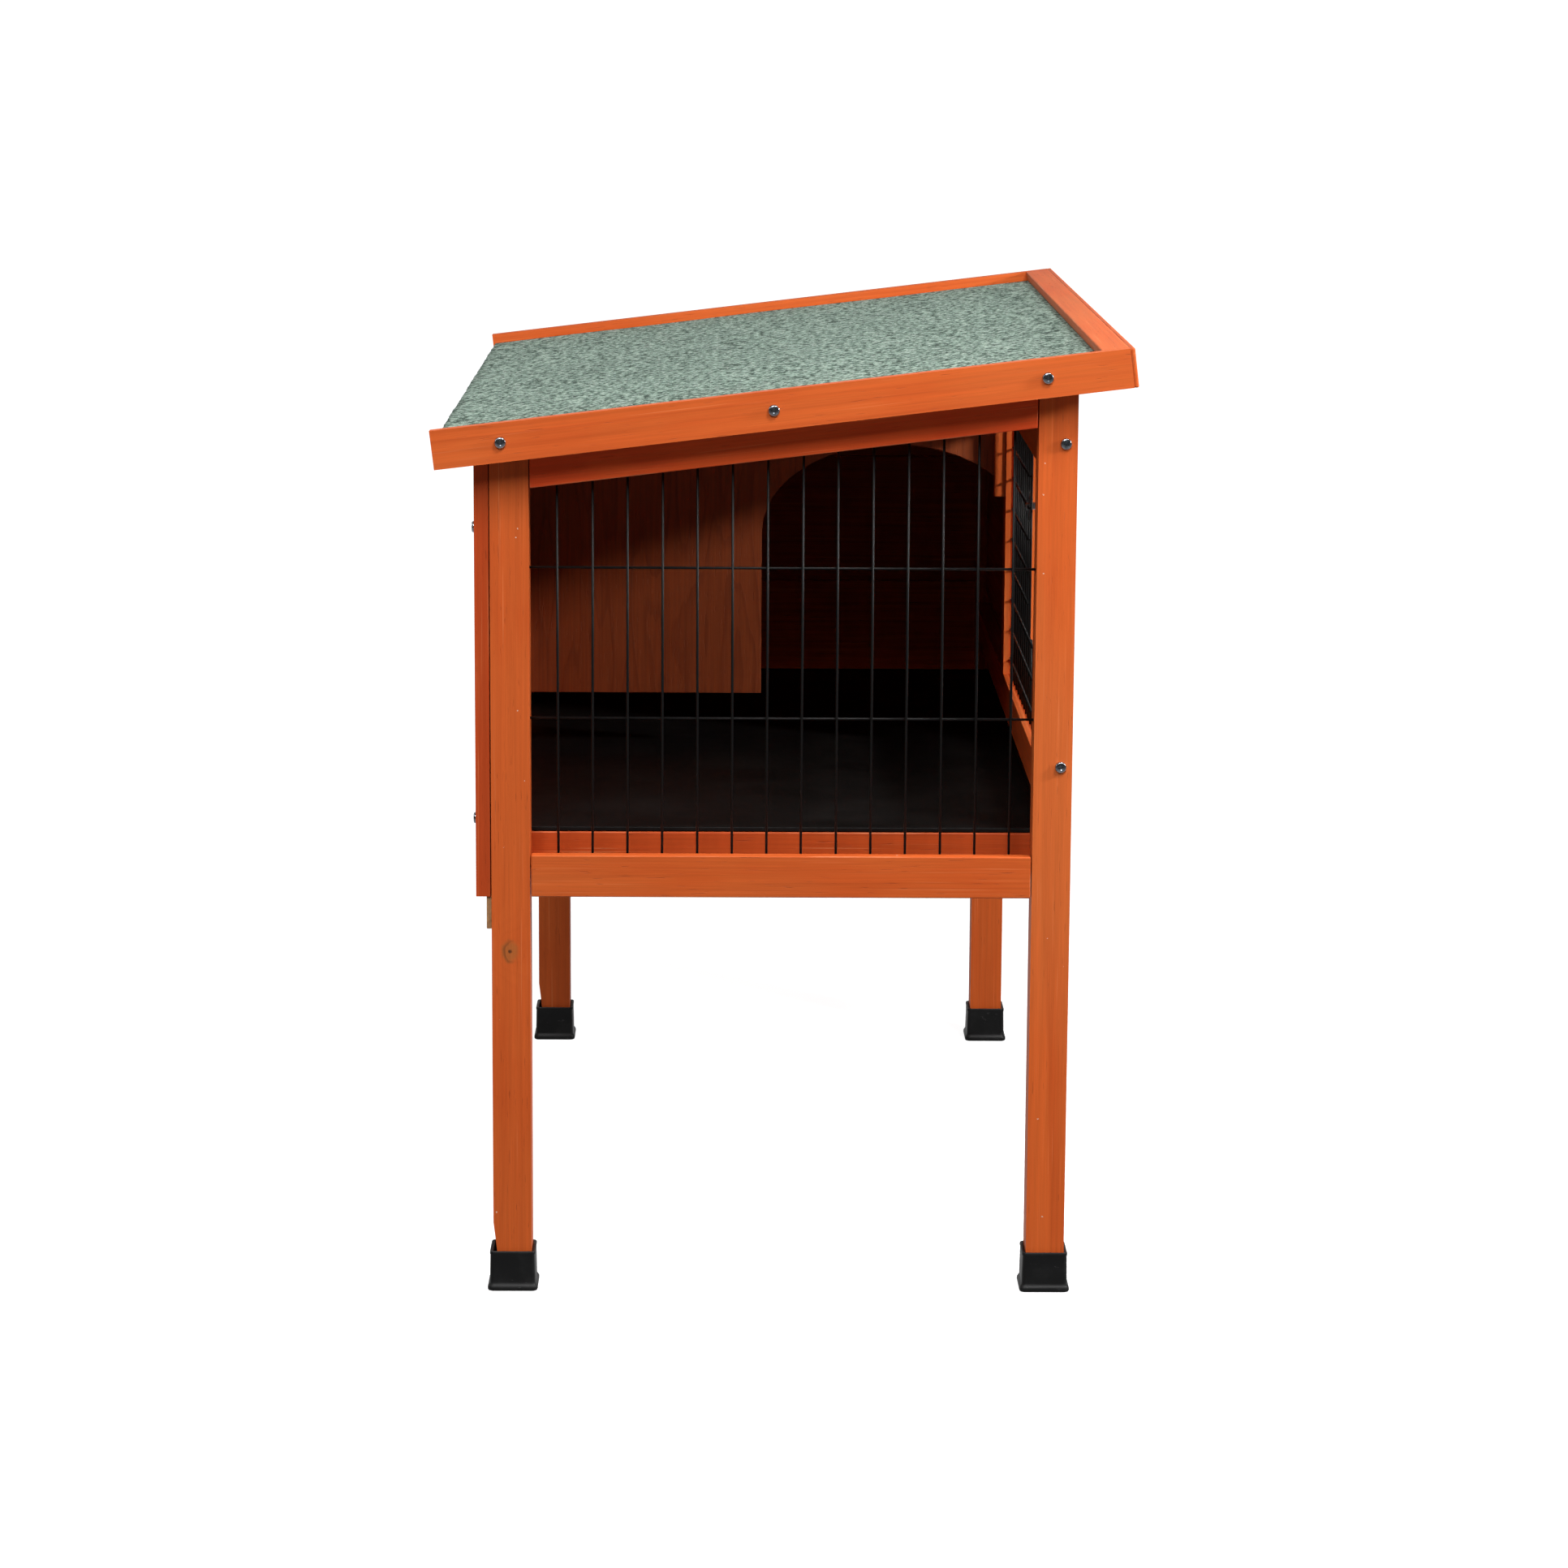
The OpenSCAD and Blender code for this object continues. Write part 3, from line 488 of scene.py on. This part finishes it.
def from_slope(y, z):
    c, s = math.cos(ROOF_SLOPE), math.sin(ROOF_SLOPE)
    return y * c + z * s, z * c - y * s


def aimed(place, way):
    """A matrix that moves things to a place, with their Z along the way."""
    return Matrix.Translation(place) @ way.to_track_quat("Z", "Y").to_matrix().to_4x4()


def tube(bm, start, end, radius, sides=10):
    """A closed round wire from start to end."""
    start, end = Vector(start), Vector(end)
    bmesh.ops.create_cone(bm, cap_ends=True, segments=sides, radius1=radius, radius2=radius,
                          depth=(end - start).length, matrix=aimed((start + end) / 2, end - start))


def ball(bm, place, radius, detail=1):
    bmesh.ops.create_icosphere(bm, subdivisions=detail, radius=radius,
                               matrix=Matrix.Translation(place))


def circle(radius, turns):
    """Points round a circle, or its one point where it has no radius."""
    angles = [2 * math.pi * k / turns for k in range(turns if radius else 1)]
    return [(radius * math.cos(a), radius * math.sin(a)) for a in angles]


def skin(bm, loops):
    """Faces between each loop of points and the next; a loop of one point is a tip."""
    for a, b in zip(loops, loops[1:]):
        for k in range(max(len(a), len(b))):
            if len(a) == 1:
                bm.faces.new([a[0], b[(k + 1) % len(b)], b[k]])
            elif len(b) == 1:
                bm.faces.new([a[k], a[(k + 1) % len(a)], b[0]])
            else:
                n = (k + 1) % len(a)
                bm.faces.new([a[k], a[n], b[n], b[k]])


# ------------------------------------------------------------------ timber

BACK_BOARDS = [f"back_board_{number}" for number in range(1, 8)]

# How much redder than the rest a piece took the stain
RED = {"left_top_rail": 1.0, "left_tray_runner": 0.6, "rear_top_rail": 0.5, "right_wall_board_middle": 0.4}
RED.update({node: 0.75 for node in BACK_BOARDS})

# Rails that butt against the posts, and boards that lie on them, leave a hairline there
BUTTED = ("left_top_rail", "left_bottom_rail", "right_top_rail", "right_bottom_rail")
JOINT_GAP = 0.8 * MM

# Each seed takes its piece this much further along the grain, in metres
SEED_STEP = 3.7


def lay_grain(piece, along, heart, seed, tone, sloped=False, red=0.0):
    """Grain coordinates for the wood materials: u and v across from the heart, w along."""
    co = points_of(piece)
    if sloped:
        co[:, 1], co[:, 2] = to_slope(co[:, 1].copy(), co[:, 2].copy())
    order = {"x": (1, 2, 0), "y": (0, 2, 1), "z": (0, 1, 2)}[along]
    centre = (co.max(0) + co.min(0)) / 2
    grain = (co - centre)[:, order]
    grain[:, 0] += heart[0]
    grain[:, 1] += heart[1]
    grain[:, 2] += seed * SEED_STEP
    set_attribute(piece, "grain", grain, "FLOAT_VECTOR")
    set_attribute(piece, "tone", np.full(len(co), tone))
    set_attribute(piece, "red", np.full(len(co), red))


def open_joints(bm, node):
    """Draws a rail's ends, or a back board's front face, back from the posts."""
    reach = max(v.co.y for v in bm.verts)
    front = min(v.co.y for v in bm.verts)
    for v in bm.verts:
        if node in BUTTED and abs(v.co.y) > reach - 1 * MM:
            v.co.y -= math.copysign(JOINT_GAP, v.co.y)
        if node in BACK_BOARDS and v.co.y < front + 1 * MM:
            v.co.y += JOINT_GAP


def timber(node, along, heart, seed, tone, sloped=False, material=fir):
    """A piece of stained wood from its CAD node, with eased edges."""
    bm = cad_copy(node)
    open_joints(bm, node)
    piece = new_piece("wood_" + node, ease_edges(bm, WOOD_EDGE), material, node)
    weigh_normals(piece)
    lay_grain(piece, along, heart, seed, tone, sloped, RED.get(node, 0.0))


# node: grain axis, heart's place across the grain (m), seed, tone
TIMBERS = {
    "post_front_left": ("z", (0.115, 0.012), 1, 1.06),
    "post_front_right": ("z", (0.06, -0.05), 2, 0.98),
    "post_back_right": ("z", (0.05, 0.07), 4, 0.94),
    "left_bottom_rail": ("y", (0.05, -0.09), 5, 1.0),
    "left_tray_runner": ("y", (0.03, 0.05), 7, 0.92),
    "right_bottom_rail": ("y", (0.05, 0.08), 8, 1.0),
    "right_tray_runner": ("y", (0.05, 0.05), 10, 0.95),
    "right_wall_board_lower": ("y", (0.07, 0.02), 11, 1.0),
    "right_wall_board_middle": ("y", (0.05, -0.03), 12, 0.95),
    "right_wall_board_upper": ("y", (0.09, 0.01), 13, 1.03),
    "front_top_rail": ("x", (0.07, 0.06), 14, 1.0),
    "front_bottom_rail": ("x", (0.08, -0.06), 15, 0.97),
    "middle_stile": ("z", (0.07, 0.05), 16, 1.25),
    "rear_ledger": ("x", (0.06, 0.04), 17, 0.9),
    "rear_top_rail": ("x", (0.07, 0.05), 18, 0.95),
    "partition_batten": ("z", (0.05, 0.05), 21, 1.15),
    "nest_door_left_stile": ("z", (0.05, 0.06), 22, 1.0),
    "nest_door_right_stile": ("z", (0.07, -0.04), 23, 0.96),
    "nest_door_top_rail": ("x", (0.05, 0.05), 24, 1.03),
    "nest_door_bottom_rail": ("x", (0.06, -0.04), 25, 0.98),
    "nest_door_panel": ("x", (0.09, 0.02), 26, 0.9),
    "tray_front": ("x", (0.07, 0.03), 27, 1.0),
    "tray_battens": ("x", (0.05, 0.05), 28, 0.95),
}
for number, node in enumerate(BACK_BOARDS, 1):
    TIMBERS[node] = ("z", (0.08, 0.03 * (-1) ** number), 60 + number, 0.92 + 0.03 * (number % 4))
SLOPED_TIMBERS = {
    # The left top rail's tone of 1.6 is painted light: the wood is lightened to stand in for fill light in
    # the rake's shadow
    "left_top_rail": ("y", (0.06, 0.05), 6, 1.6),
    "right_top_rail": ("y", (0.06, 0.05), 9, 1.0),
    "left_rake": ("y", (0.085, 0.034), 30, 1.05),
    "right_rake": ("y", (0.07, -0.04), 31, 1.0),
    # The front batten's tone of 1.08 is painted sheen: the whole piece is lightened to stand in for the
    # pale gloss on its top face
    "roof_front_batten": ("x", (0.09, 0.02), 32, 1.08),
    "roof_front_strip": ("x", (0.06, 0.05), 33, 1.0),
}

for node, (along, heart, seed, tone) in TIMBERS.items():
    timber(node, along, heart, seed, tone)
for node, (along, heart, seed, tone) in SLOPED_TIMBERS.items():
    timber(node, along, heart, seed, tone, sloped=True)

# The back left post has a pale knot on its outer face, low down
KNOTTED_HEART = (0.09, -0.02)
KNOTTED_SEED = 3
KNOT_OFFSET = 0.001
KNOT_HEIGHT = 0.2735
KNOT_SIZE = 0.0075


def make_knotted_post():
    low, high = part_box("post_back_left")
    knot_w = KNOT_HEIGHT - (low.z + high.z) / 2 + KNOTTED_SEED * SEED_STEP
    knot = (KNOTTED_HEART[1] + KNOT_OFFSET, knot_w, KNOT_SIZE)
    knotted = stained_fir("stained_fir_knotted", [knot])
    timber("post_back_left", "z", KNOTTED_HEART, KNOTTED_SEED, 0.97, material=knotted)


make_knotted_post()


# ------------------------------------------------------------------ plywood

def mark_cut(piece, thin_axis):
    """1 on the points of faces that don't face the thin way: the cut edges."""
    mesh = piece.data
    cut = np.ones(len(mesh.vertices))
    for face in mesh.polygons:
        if abs(face.normal[thin_axis]) > 0.7:
            for i in face.vertices:
                cut[i] = 0.0
    set_attribute(piece, "cut", cut)


def ply_piece(node, along, thin_axis, seed, material, sloped=False):
    piece = new_piece("ply_" + node, ease_edges(cad_copy(node), PLY_EDGE, 1), material, node)
    weigh_normals(piece)
    lay_grain(piece, along, (0.0, 0.0), seed, 1.0, sloped)
    mark_cut(piece, thin_axis)


ply_piece("partition", "z", 0, 41, ply_face)
ply_piece("rear_plywood_strip", "x", 1, 42, ply_bare)
ply_piece("roof_board", "x", 2, 43, ply_bare, sloped=True)


# ------------------------------------------------------------------ felt

FELT_GRID = 6 * MM
FELT_WAVE = 0.5 * MM
FELT_RAGGED = 0.5 * MM


def felt_wave(x, y):
    """A gentle swell over the felt's top, never above 0."""
    return 0.35 * math.sin(x * 23 + 1.3 * math.sin(y * 17)) + 0.25 * math.sin(y * 31 + x * 9) - 0.6


def make_felt():
    """The felt as a fine closed sheet with gentle waves and a slightly ragged back edge."""
    low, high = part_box("roof_felt")
    co = points_of(nodes["roof_felt"])
    flat_y, flat_z = to_slope(co[:, 1], co[:, 2])
    y0, y1 = flat_y.min(), flat_y.max()
    nx = round((high.x - low.x) / FELT_GRID)
    ny = round((y1 - y0) / FELT_GRID)
    rng = random.Random(5)
    ragged = [rng.uniform(-1, 1) * FELT_RAGGED for _ in range(nx + 1)]
    bm = bmesh.new()
    grid = {}
    for layer, z in enumerate((flat_z.min(), flat_z.max())):
        for i in range(nx + 1):
            for j in range(ny + 1):
                x = low.x + (high.x - low.x) * i / nx
                y = y0 + (y1 - y0) * j / ny + (ragged[i] if j == ny else 0)
                rise = felt_wave(x, y) * FELT_WAVE if layer else 0.0
                grid[layer, i, j] = bm.verts.new((x, *from_slope(y, z + rise)))
    for i in range(nx):
        for j in range(ny):
            bm.faces.new([grid[1, i, j], grid[1, i + 1, j], grid[1, i + 1, j + 1], grid[1, i, j + 1]])
            bm.faces.new([grid[0, i, j], grid[0, i, j + 1], grid[0, i + 1, j + 1], grid[0, i + 1, j]])
    rim = [(i, 0) for i in range(nx)] + [(nx, j) for j in range(ny)] \
        + [(i, ny) for i in range(nx, 0, -1)] + [(0, j) for j in range(ny, 0, -1)]
    for a, b in zip(rim, rim[1:] + rim[:1]):
        bm.faces.new([grid[0, *a], grid[0, *b], grid[1, *b], grid[1, *a]])
    new_piece("felt", bm, felt_material, "roof_felt")


make_felt()


# ------------------------------------------------------------------ wires

WIRE_R = 1.0 * MM
WELD_R = 1.05 * MM
BORDER_R = 1.5 * MM
HATCH_CELLS = 6


def make_side_panel():
    """The wires of the left end: uprights outside, cut to the roof's slope, and three across."""
    low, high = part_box("left_wire_panel")
    uprights = 14
    crosses = 3
    pitch = 27 * MM
    cross_pitch = 117.5 * MM
    first_y = -177.5 * MM
    first_z = 338.5 * MM
    top_at_middle = 687 * MM
    outer_x = low.x + WIRE_R
    inner_x = high.x - WIRE_R
    rng = random.Random(11)
    bm = bmesh.new()
    for i in range(uprights):
        y = first_y + i * pitch
        lean = rng.uniform(-0.35, 0.35) * MM
        top = top_at_middle - y * math.tan(ROOF_SLOPE)
        tube(bm, (outer_x, y - lean, low.z), (outer_x, y + lean, top), WIRE_R)
        for k in range(crosses):
            ball(bm, (outer_x + WIRE_R, y, first_z + k * cross_pitch), WELD_R)
    for k in range(crosses):
        z = first_z + k * cross_pitch
        tube(bm, (inner_x, low.y, z), (inner_x, high.y, z), WIRE_R)
    new_piece("side_wires", bm, wire_material, "left_wire_panel")


def make_front_panel():
    """The front bay's mesh, open where the hatch is."""
    low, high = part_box("front_wire_panel")
    columns = 15
    rows = 9
    pitch = 25 * MM
    row_pitch = 26 * MM
    first_x = -395 * MM
    first_z = 652 * MM
    upright_y = low.y + WIRE_R
    cross_y = high.y - WIRE_R
    hatch_x = (first_x, first_x + HATCH_CELLS * pitch)
    hatch_z = (first_z - HATCH_CELLS * row_pitch, first_z)
    bm = bmesh.new()
    for i in range(columns):
        x = first_x + i * pitch
        if 0 < i < HATCH_CELLS:
            tube(bm, (x, upright_y, low.z), (x, upright_y, hatch_z[0]), WIRE_R)
            tube(bm, (x, upright_y, hatch_z[1]), (x, upright_y, high.z), WIRE_R)
        else:
            tube(bm, (x, upright_y, low.z), (x, upright_y, high.z), WIRE_R)
        for k in range(rows):
            if not (0 < i < HATCH_CELLS and 0 < k < HATCH_CELLS):
                ball(bm, (x, upright_y + WIRE_R, first_z - k * row_pitch), WELD_R)
    for k in range(rows):
        z = first_z - k * row_pitch
        if 0 < k < HATCH_CELLS:
            tube(bm, (low.x, cross_y, z), (hatch_x[0], cross_y, z), WIRE_R)
            tube(bm, (hatch_x[1], cross_y, z), (high.x, cross_y, z), WIRE_R)
        else:
            tube(bm, (low.x, cross_y, z), (high.x, cross_y, z), WIRE_R)
    new_piece("front_wires", bm, wire_material, "front_wire_panel")


def make_wire_door():
    """The hatch's own door: a border of thicker wire with the mesh welded across it."""
    low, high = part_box("wire_door")
    border_y = -208 * MM
    sides = 14
    x0, x1 = low.x + BORDER_R, high.x - BORDER_R
    z0, z1 = low.z + BORDER_R, high.z - BORDER_R
    upright_y = high.y - WIRE_R
    cross_y = low.y + WIRE_R
    bm = bmesh.new()
    for x in (x0, x1):
        tube(bm, (x, border_y, z0), (x, border_y, z1), BORDER_R, sides)
    for z in (z0, z1):
        tube(bm, (x0, border_y, z), (x1, border_y, z), BORDER_R, sides)
    for x in (x0, x1):
        for z in (z0, z1):
            ball(bm, (x, border_y, z), BORDER_R, 2)
    for i in range(1, HATCH_CELLS):
        x = x0 + (x1 - x0) * i / HATCH_CELLS
        z = z0 + (z1 - z0) * i / HATCH_CELLS
        tube(bm, (x, upright_y, z0), (x, upright_y, z1), WIRE_R)
        tube(bm, (x0, cross_y, z), (x1, cross_y, z), WIRE_R)
        for k in range(1, HATCH_CELLS):
            ball(bm, (x, (upright_y + cross_y) / 2, z0 + (z1 - z0) * k / HATCH_CELLS), WELD_R)
    new_piece("hatch_wires", bm, wire_material, "wire_door")


make_side_panel()
make_front_panel()
make_wire_door()


# ------------------------------------------------------------------ metal fittings

def metal(node):
    """A metal piece from its CAD node, with its edges just broken."""
    weigh_normals(new_piece("metal_" + node, ease_edges(cad_copy(node), METAL_EDGE), steel, node))


for node in ("wire_door_clips", "wire_latch_base", "wire_latch_blade", "nest_hinge_post_leaves",
             "nest_hinge_door_leaves", "bolt_plate", "bolt_rod", "bolt_keeper",
             "roof_hinge_frame_leaves", "roof_hinge_roof_leaves", "hinge_pins"):
    metal(node)


# ------------------------------------------------------------------ screws

# Radius and height, as shares of the head's own
PAN_PROFILE = [(1.0, 0.0), (1.0, 0.22), (0.985, 0.44), (0.94, 0.68), (0.87, 0.86), (0.79, 0.96),
               (0.30, 0.995), (0.0, 1.0)]
# The cross slot's length and width, as shares of the radius, and its height, of the head's
SLOT_FLOOR = (0.75, 0.17, 0.25)
SLOT_TOP = (1.16, 0.26, 1.6)
HEAD_SIDES = 40
SHANK_SIDES = 16


def mesh_object(name, bm):
    piece = bpy.data.objects.new(name, bpy.data.meshes.new(name))
    bm.to_mesh(piece.data)
    bm.free()
    scene.collection.objects.link(piece)
    return piece


def pan_head_mesh(radius, height):
    """A flat head with a round rim and a cross recess, base on Z = 0."""
    bm = bmesh.new()
    rings = []
    for r, z in PAN_PROFILE:
        rings.append([bm.verts.new((x, y, height * z)) for x, y in circle(radius * r, HEAD_SIDES)])
    skin(bm, rings)
    bm.faces.new(list(reversed(rings[0])))
    head = mesh_object("head", bm)

    bm = bmesh.new()
    for turn in (0, math.pi / 2):
        for v in bmesh.ops.create_cube(bm, size=1)["verts"]:
            length, width, level = SLOT_FLOOR if v.co.z < 0 else SLOT_TOP
            v.co.x *= radius * length
            v.co.y *= radius * width
            v.co.z = height * level
            v.co = Matrix.Rotation(turn, 3, "Z") @ v.co
    cutter = mesh_object("cutter", bm)

    cut = head.modifiers.new("cut", "BOOLEAN")
    cut.object = cutter
    cut.operation = "DIFFERENCE"
    cut.solver = "EXACT"
    cut.use_self = True
    bpy.context.view_layer.update()
    mesh = bpy.data.meshes.new_from_object(head.evaluated_get(bpy.context.evaluated_depsgraph_get()))
    for o in (head, cutter):
        bpy.data.objects.remove(o)
    return mesh


def islands(node):
    """The node's separate solids, each as an array of its points."""
    bm = cad_copy(node)
    left = set(bm.verts)
    found = []
    while left:
        stack = [left.pop()]
        group = list(stack)
        while stack:
            for e in stack.pop().link_edges:
                for v in e.verts:
                    if v in left:
                        left.remove(v)
                        stack.append(v)
                        group.append(v)
        found.append(np.array([v.co[:] for v in group]))
    bm.free()
    return found


def make_screws(node, heads, seed):
    """Cross-slot screws where the CAD screws are, each turned its own way."""
    rng = random.Random(seed)
    bm = bmesh.new()
    for pts in sorted(islands(node), key=lambda p: tuple(p.mean(0).round(4))):
        centre = (pts.max(0) + pts.min(0)) / 2
        way = np.linalg.svd(pts - centre)[2][0]
        along = (pts - centre) @ way
        off = np.linalg.norm(pts - centre - np.outer(along, way), axis=1)
        if (along * (off > off.max() * 0.9)).sum() < 0:
            way, along = -way, -along
        radius = off.max()
        base = along[off > radius * 0.98].min()
        under_head = along < base - 0.1 * MM
        shank = off[under_head].max() if under_head.any() else radius * 0.4
        spin = Matrix.Rotation(rng.uniform(0, math.pi / 2), 4, "Z")
        mesh = heads["large" if radius > 4 * MM else "small"].copy()
        mesh.transform(aimed(Vector(centre + way * base), Vector(way)) @ spin)
        bm.from_mesh(mesh)
        bpy.data.meshes.remove(mesh)
        tip = centre + way * along.min()
        tube(bm, Vector(tip), Vector(centre + way * base), shank, SHANK_SIDES)
    piece = new_piece("screws_" + node, bm, screw_steel, node)
    piece.data.set_sharp_from_angle(angle=math.radians(32))


HEADS = {"large": pan_head_mesh(4.5 * MM, 2.3 * MM), "small": pan_head_mesh(3.0 * MM, 1.5 * MM)}
for seed, node in enumerate(("frame_screws", "roof_screws", "door_screws"), 1):
    make_screws(node, HEADS, seed)


# ------------------------------------------------------------------ leg caps

def square_loop(bm, cx, cy, half, corner, z):
    """A square loop of points with round corners."""
    steps = 6
    loop = []
    for q in range(4):
        ox = (half - corner) * (1 if q in (0, 3) else -1)
        oy = (half - corner) * (1 if q in (0, 1) else -1)
        for k in range(steps + 1):
            a = (math.pi / 2) * (q + k / steps)
            loop.append(bm.verts.new((cx + ox + corner * math.cos(a), cy + oy + corner * math.sin(a), z)))
    return loop


def make_cap(node):
    """A moulded cap: a foot flange, a slightly tapered body and a soft rim round the post."""
    low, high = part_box(node)
    cx, cy = (low.x + high.x) / 2, (low.y + high.y) / 2
    flange = (high.x - low.x) / 2
    top = high.z
    inside = 15.25 * MM
    # half width, corner radius, height
    profile = [
        (flange - 1.6 * MM, 3.2 * MM, 0.0), (flange - 0.5 * MM, 3.8 * MM, 0.5 * MM),
        (flange, 4.0 * MM, 1.6 * MM), (flange - 0.1 * MM, 4.0 * MM, 3.4 * MM),
        (flange - 0.8 * MM, 3.9 * MM, 4.8 * MM), (flange - 1.7 * MM, 3.6 * MM, 6.0 * MM),
        (18.0 * MM, 3.4 * MM, 7.6 * MM), (17.8 * MM, 3.3 * MM, 18 * MM),
        (17.6 * MM, 3.2 * MM, top - 3 * MM), (17.9 * MM, 3.3 * MM, top - 2.2 * MM),
        (17.9 * MM, 3.3 * MM, top - 0.7 * MM), (17.5 * MM, 3.1 * MM, top),
        (16.2 * MM, 2.2 * MM, top), (inside, 1.4 * MM, top - 0.5 * MM), (inside, 1.4 * MM, 3 * MM)]
    bm = bmesh.new()
    loops = [square_loop(bm, cx, cy, *level) for level in profile]
    skin(bm, loops)
    bm.faces.new(list(reversed(loops[0])))
    bm.faces.new(loops[-1])
    piece = new_piece("cap_" + node, bm, plastic, node)
    piece.data.set_sharp_from_angle(angle=math.radians(50))


for node in ("foot_cap_front_left", "foot_cap_front_right", "foot_cap_back_left", "foot_cap_back_right"):
    make_cap(node)


# ------------------------------------------------------------------ tray floor and knob

tray = new_piece("tray_sheet", ease_edges(cad_copy("tray_floor"), TRAY_EDGE), sheet_material, "tray_floor")
weigh_normals(tray)

# Radius and distance back from the knob's front, in mm
KNOB_PROFILE = [(0.0, 0.0), (5.5, 0.15), (9.0, 0.9), (11.8, 2.6), (13.0, 5.2), (12.6, 7.6), (10.6, 9.8),
                (8.0, 11.8), (6.9, 14.0), (7.2, 16.5), (8.6, 19.0), (9.8, 21.0), (9.9, 22.0), (2.5, 22.0),
                (2.5, 35.9), (0.0, 35.9)]
KNOB_SIDES = 48


def make_knob():
    """A turned wooden knob on its dowel."""
    low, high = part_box("tray_knob")
    cx, cz = (low.x + high.x) / 2, (low.z + high.z) / 2
    bm = bmesh.new()
    loops = []
    for r, back in KNOB_PROFILE:
        y = low.y + back * MM
        loops.append([bm.verts.new((cx + x, y, cz + z)) for x, z in circle(r * MM, KNOB_SIDES)])
    skin(bm, loops[::-1])
    bmesh.ops.recalc_face_normals(bm, faces=bm.faces)
    bm.verts.layers.float.new("edge")
    piece = new_piece("turned_knob", bm, fir, "tray_knob")
    lay_grain(piece, "y", (0.05, 0.02), 51, 0.8)
    piece.data.set_sharp_from_angle(angle=math.radians(50))


make_knob()


# ------------------------------------------------------------------ studio

FLOOR_R = 6.0
BEND_R = 2.0
WALL_TOP = 9.0
FLOOR_SIDES = 96


def studio_white():
    """White paint that glows more away from the middle, so that shadows on it stay faint."""
    t = Tree("studio_floor")
    place = t.place()
    away = t.step(t.vector("LENGTH", place)["Value"], 0.5, 3.0)
    shade = t.mix(t.noise(place, 3, 3, 0.6), (0.50, 0.50, 0.50, 1), (0.48, 0.48, 0.48, 1))
    return t.shader({"Base Color": shade, "Roughness": 0.9, "Emission Color": (1, 1, 1, 1),
                     "Emission Strength": t.add(0.88, t.mul(away, 0.12)), "Specular IOR Level": 0.0})


def make_studio():
    """A white floor disc that curves up all round into a white wall."""
    bends = [math.radians(d) for d in range(10, 91, 10)]
    profile = [(0.0, 0.0), (2.0, 0.0), (FLOOR_R, 0.0)]
    profile += [(FLOOR_R + BEND_R * math.sin(a), BEND_R - BEND_R * math.cos(a)) for a in bends]
    profile += [(FLOOR_R + BEND_R, WALL_TOP)]
    bm = bmesh.new()
    loops = [[bm.verts.new((x, y, z)) for x, y in circle(r, FLOOR_SIDES)] for r, z in profile]
    skin(bm, loops[::-1])
    floor = new_object("floor", bm, studio_white())
    floor.visible_diffuse = False
    floor.visible_glossy = False
    floor.visible_transmission = False
    floor.visible_shadow = False


# Axis of the view, the two places on it between which the light changes, and its strength at each
WORLD = ((0, -0.2, 0.8, 0.015, 0.55), (2, 0.0, -0.5, 0.0, 0.28))


def make_world():
    """A dim room with a white paper at the far end and light thrown back from below."""
    world = bpy.data.worlds.new("studio")
    world.use_nodes = True
    nt = world.node_tree
    nt.nodes.clear()
    out = nt.nodes.new("ShaderNodeOutputWorld")
    back = nt.nodes.new("ShaderNodeBackground")
    place = nt.nodes.new("ShaderNodeTexCoord")
    axes = nt.nodes.new("ShaderNodeSeparateXYZ")
    total = nt.nodes.new("ShaderNodeMath")
    nt.links.new(place.outputs["Generated"], axes.inputs[0])
    for slot, (axis, *limits) in enumerate(WORLD):
        ramp = nt.nodes.new("ShaderNodeMapRange")
        for key, value in enumerate(limits, 1):
            ramp.inputs[key].default_value = value
        nt.links.new(axes.outputs[axis], ramp.inputs[0])
        nt.links.new(ramp.outputs[0], total.inputs[slot])
    nt.links.new(total.outputs[0], back.inputs["Strength"])
    nt.links.new(back.outputs[0], out.inputs[0])
    back.inputs["Color"].default_value = (1, 1, 1, 1)
    scene.world = world


# name: direction from the target, distance (m), width and height (m), power (W), target
LIGHTS = {
    "key": ((-0.82, -0.66, 1.6), 3.2, (0.75, 0.75), 76, (-0.3, 0, 0.45)),
    "front": ((-1.0, 0.20, 0.92), 5.5, (2.3, 2.0), 166, (-0.3, 0, 0.45)),
    "right": ((-0.62, -1.25, 0.56), 1.50, (0.12, 0.12), 15, (0, 0, 0.5)),
    "side": ((-0.1, 1.0, 0.6), 2.8, (1.2, 1.2), 10, (-0.3, 0, 0.45)),
}


def area_light(name, way, distance, size, power, target):
    """A soft box that shines on the target from the direction way."""
    data = bpy.data.lights.new(name, "AREA")
    data.shape = "RECTANGLE"
    data.size, data.size_y = size
    data.energy = power
    way = Vector(way).normalized()
    light = bpy.data.objects.new(name, data)
    light.matrix_world = aimed(Vector(target) + way * distance, way)
    scene.collection.objects.link(light)


make_studio()
make_world()
for name, settings in LIGHTS.items():
    area_light(name, *settings)
scene.view_settings.view_transform = "Standard"
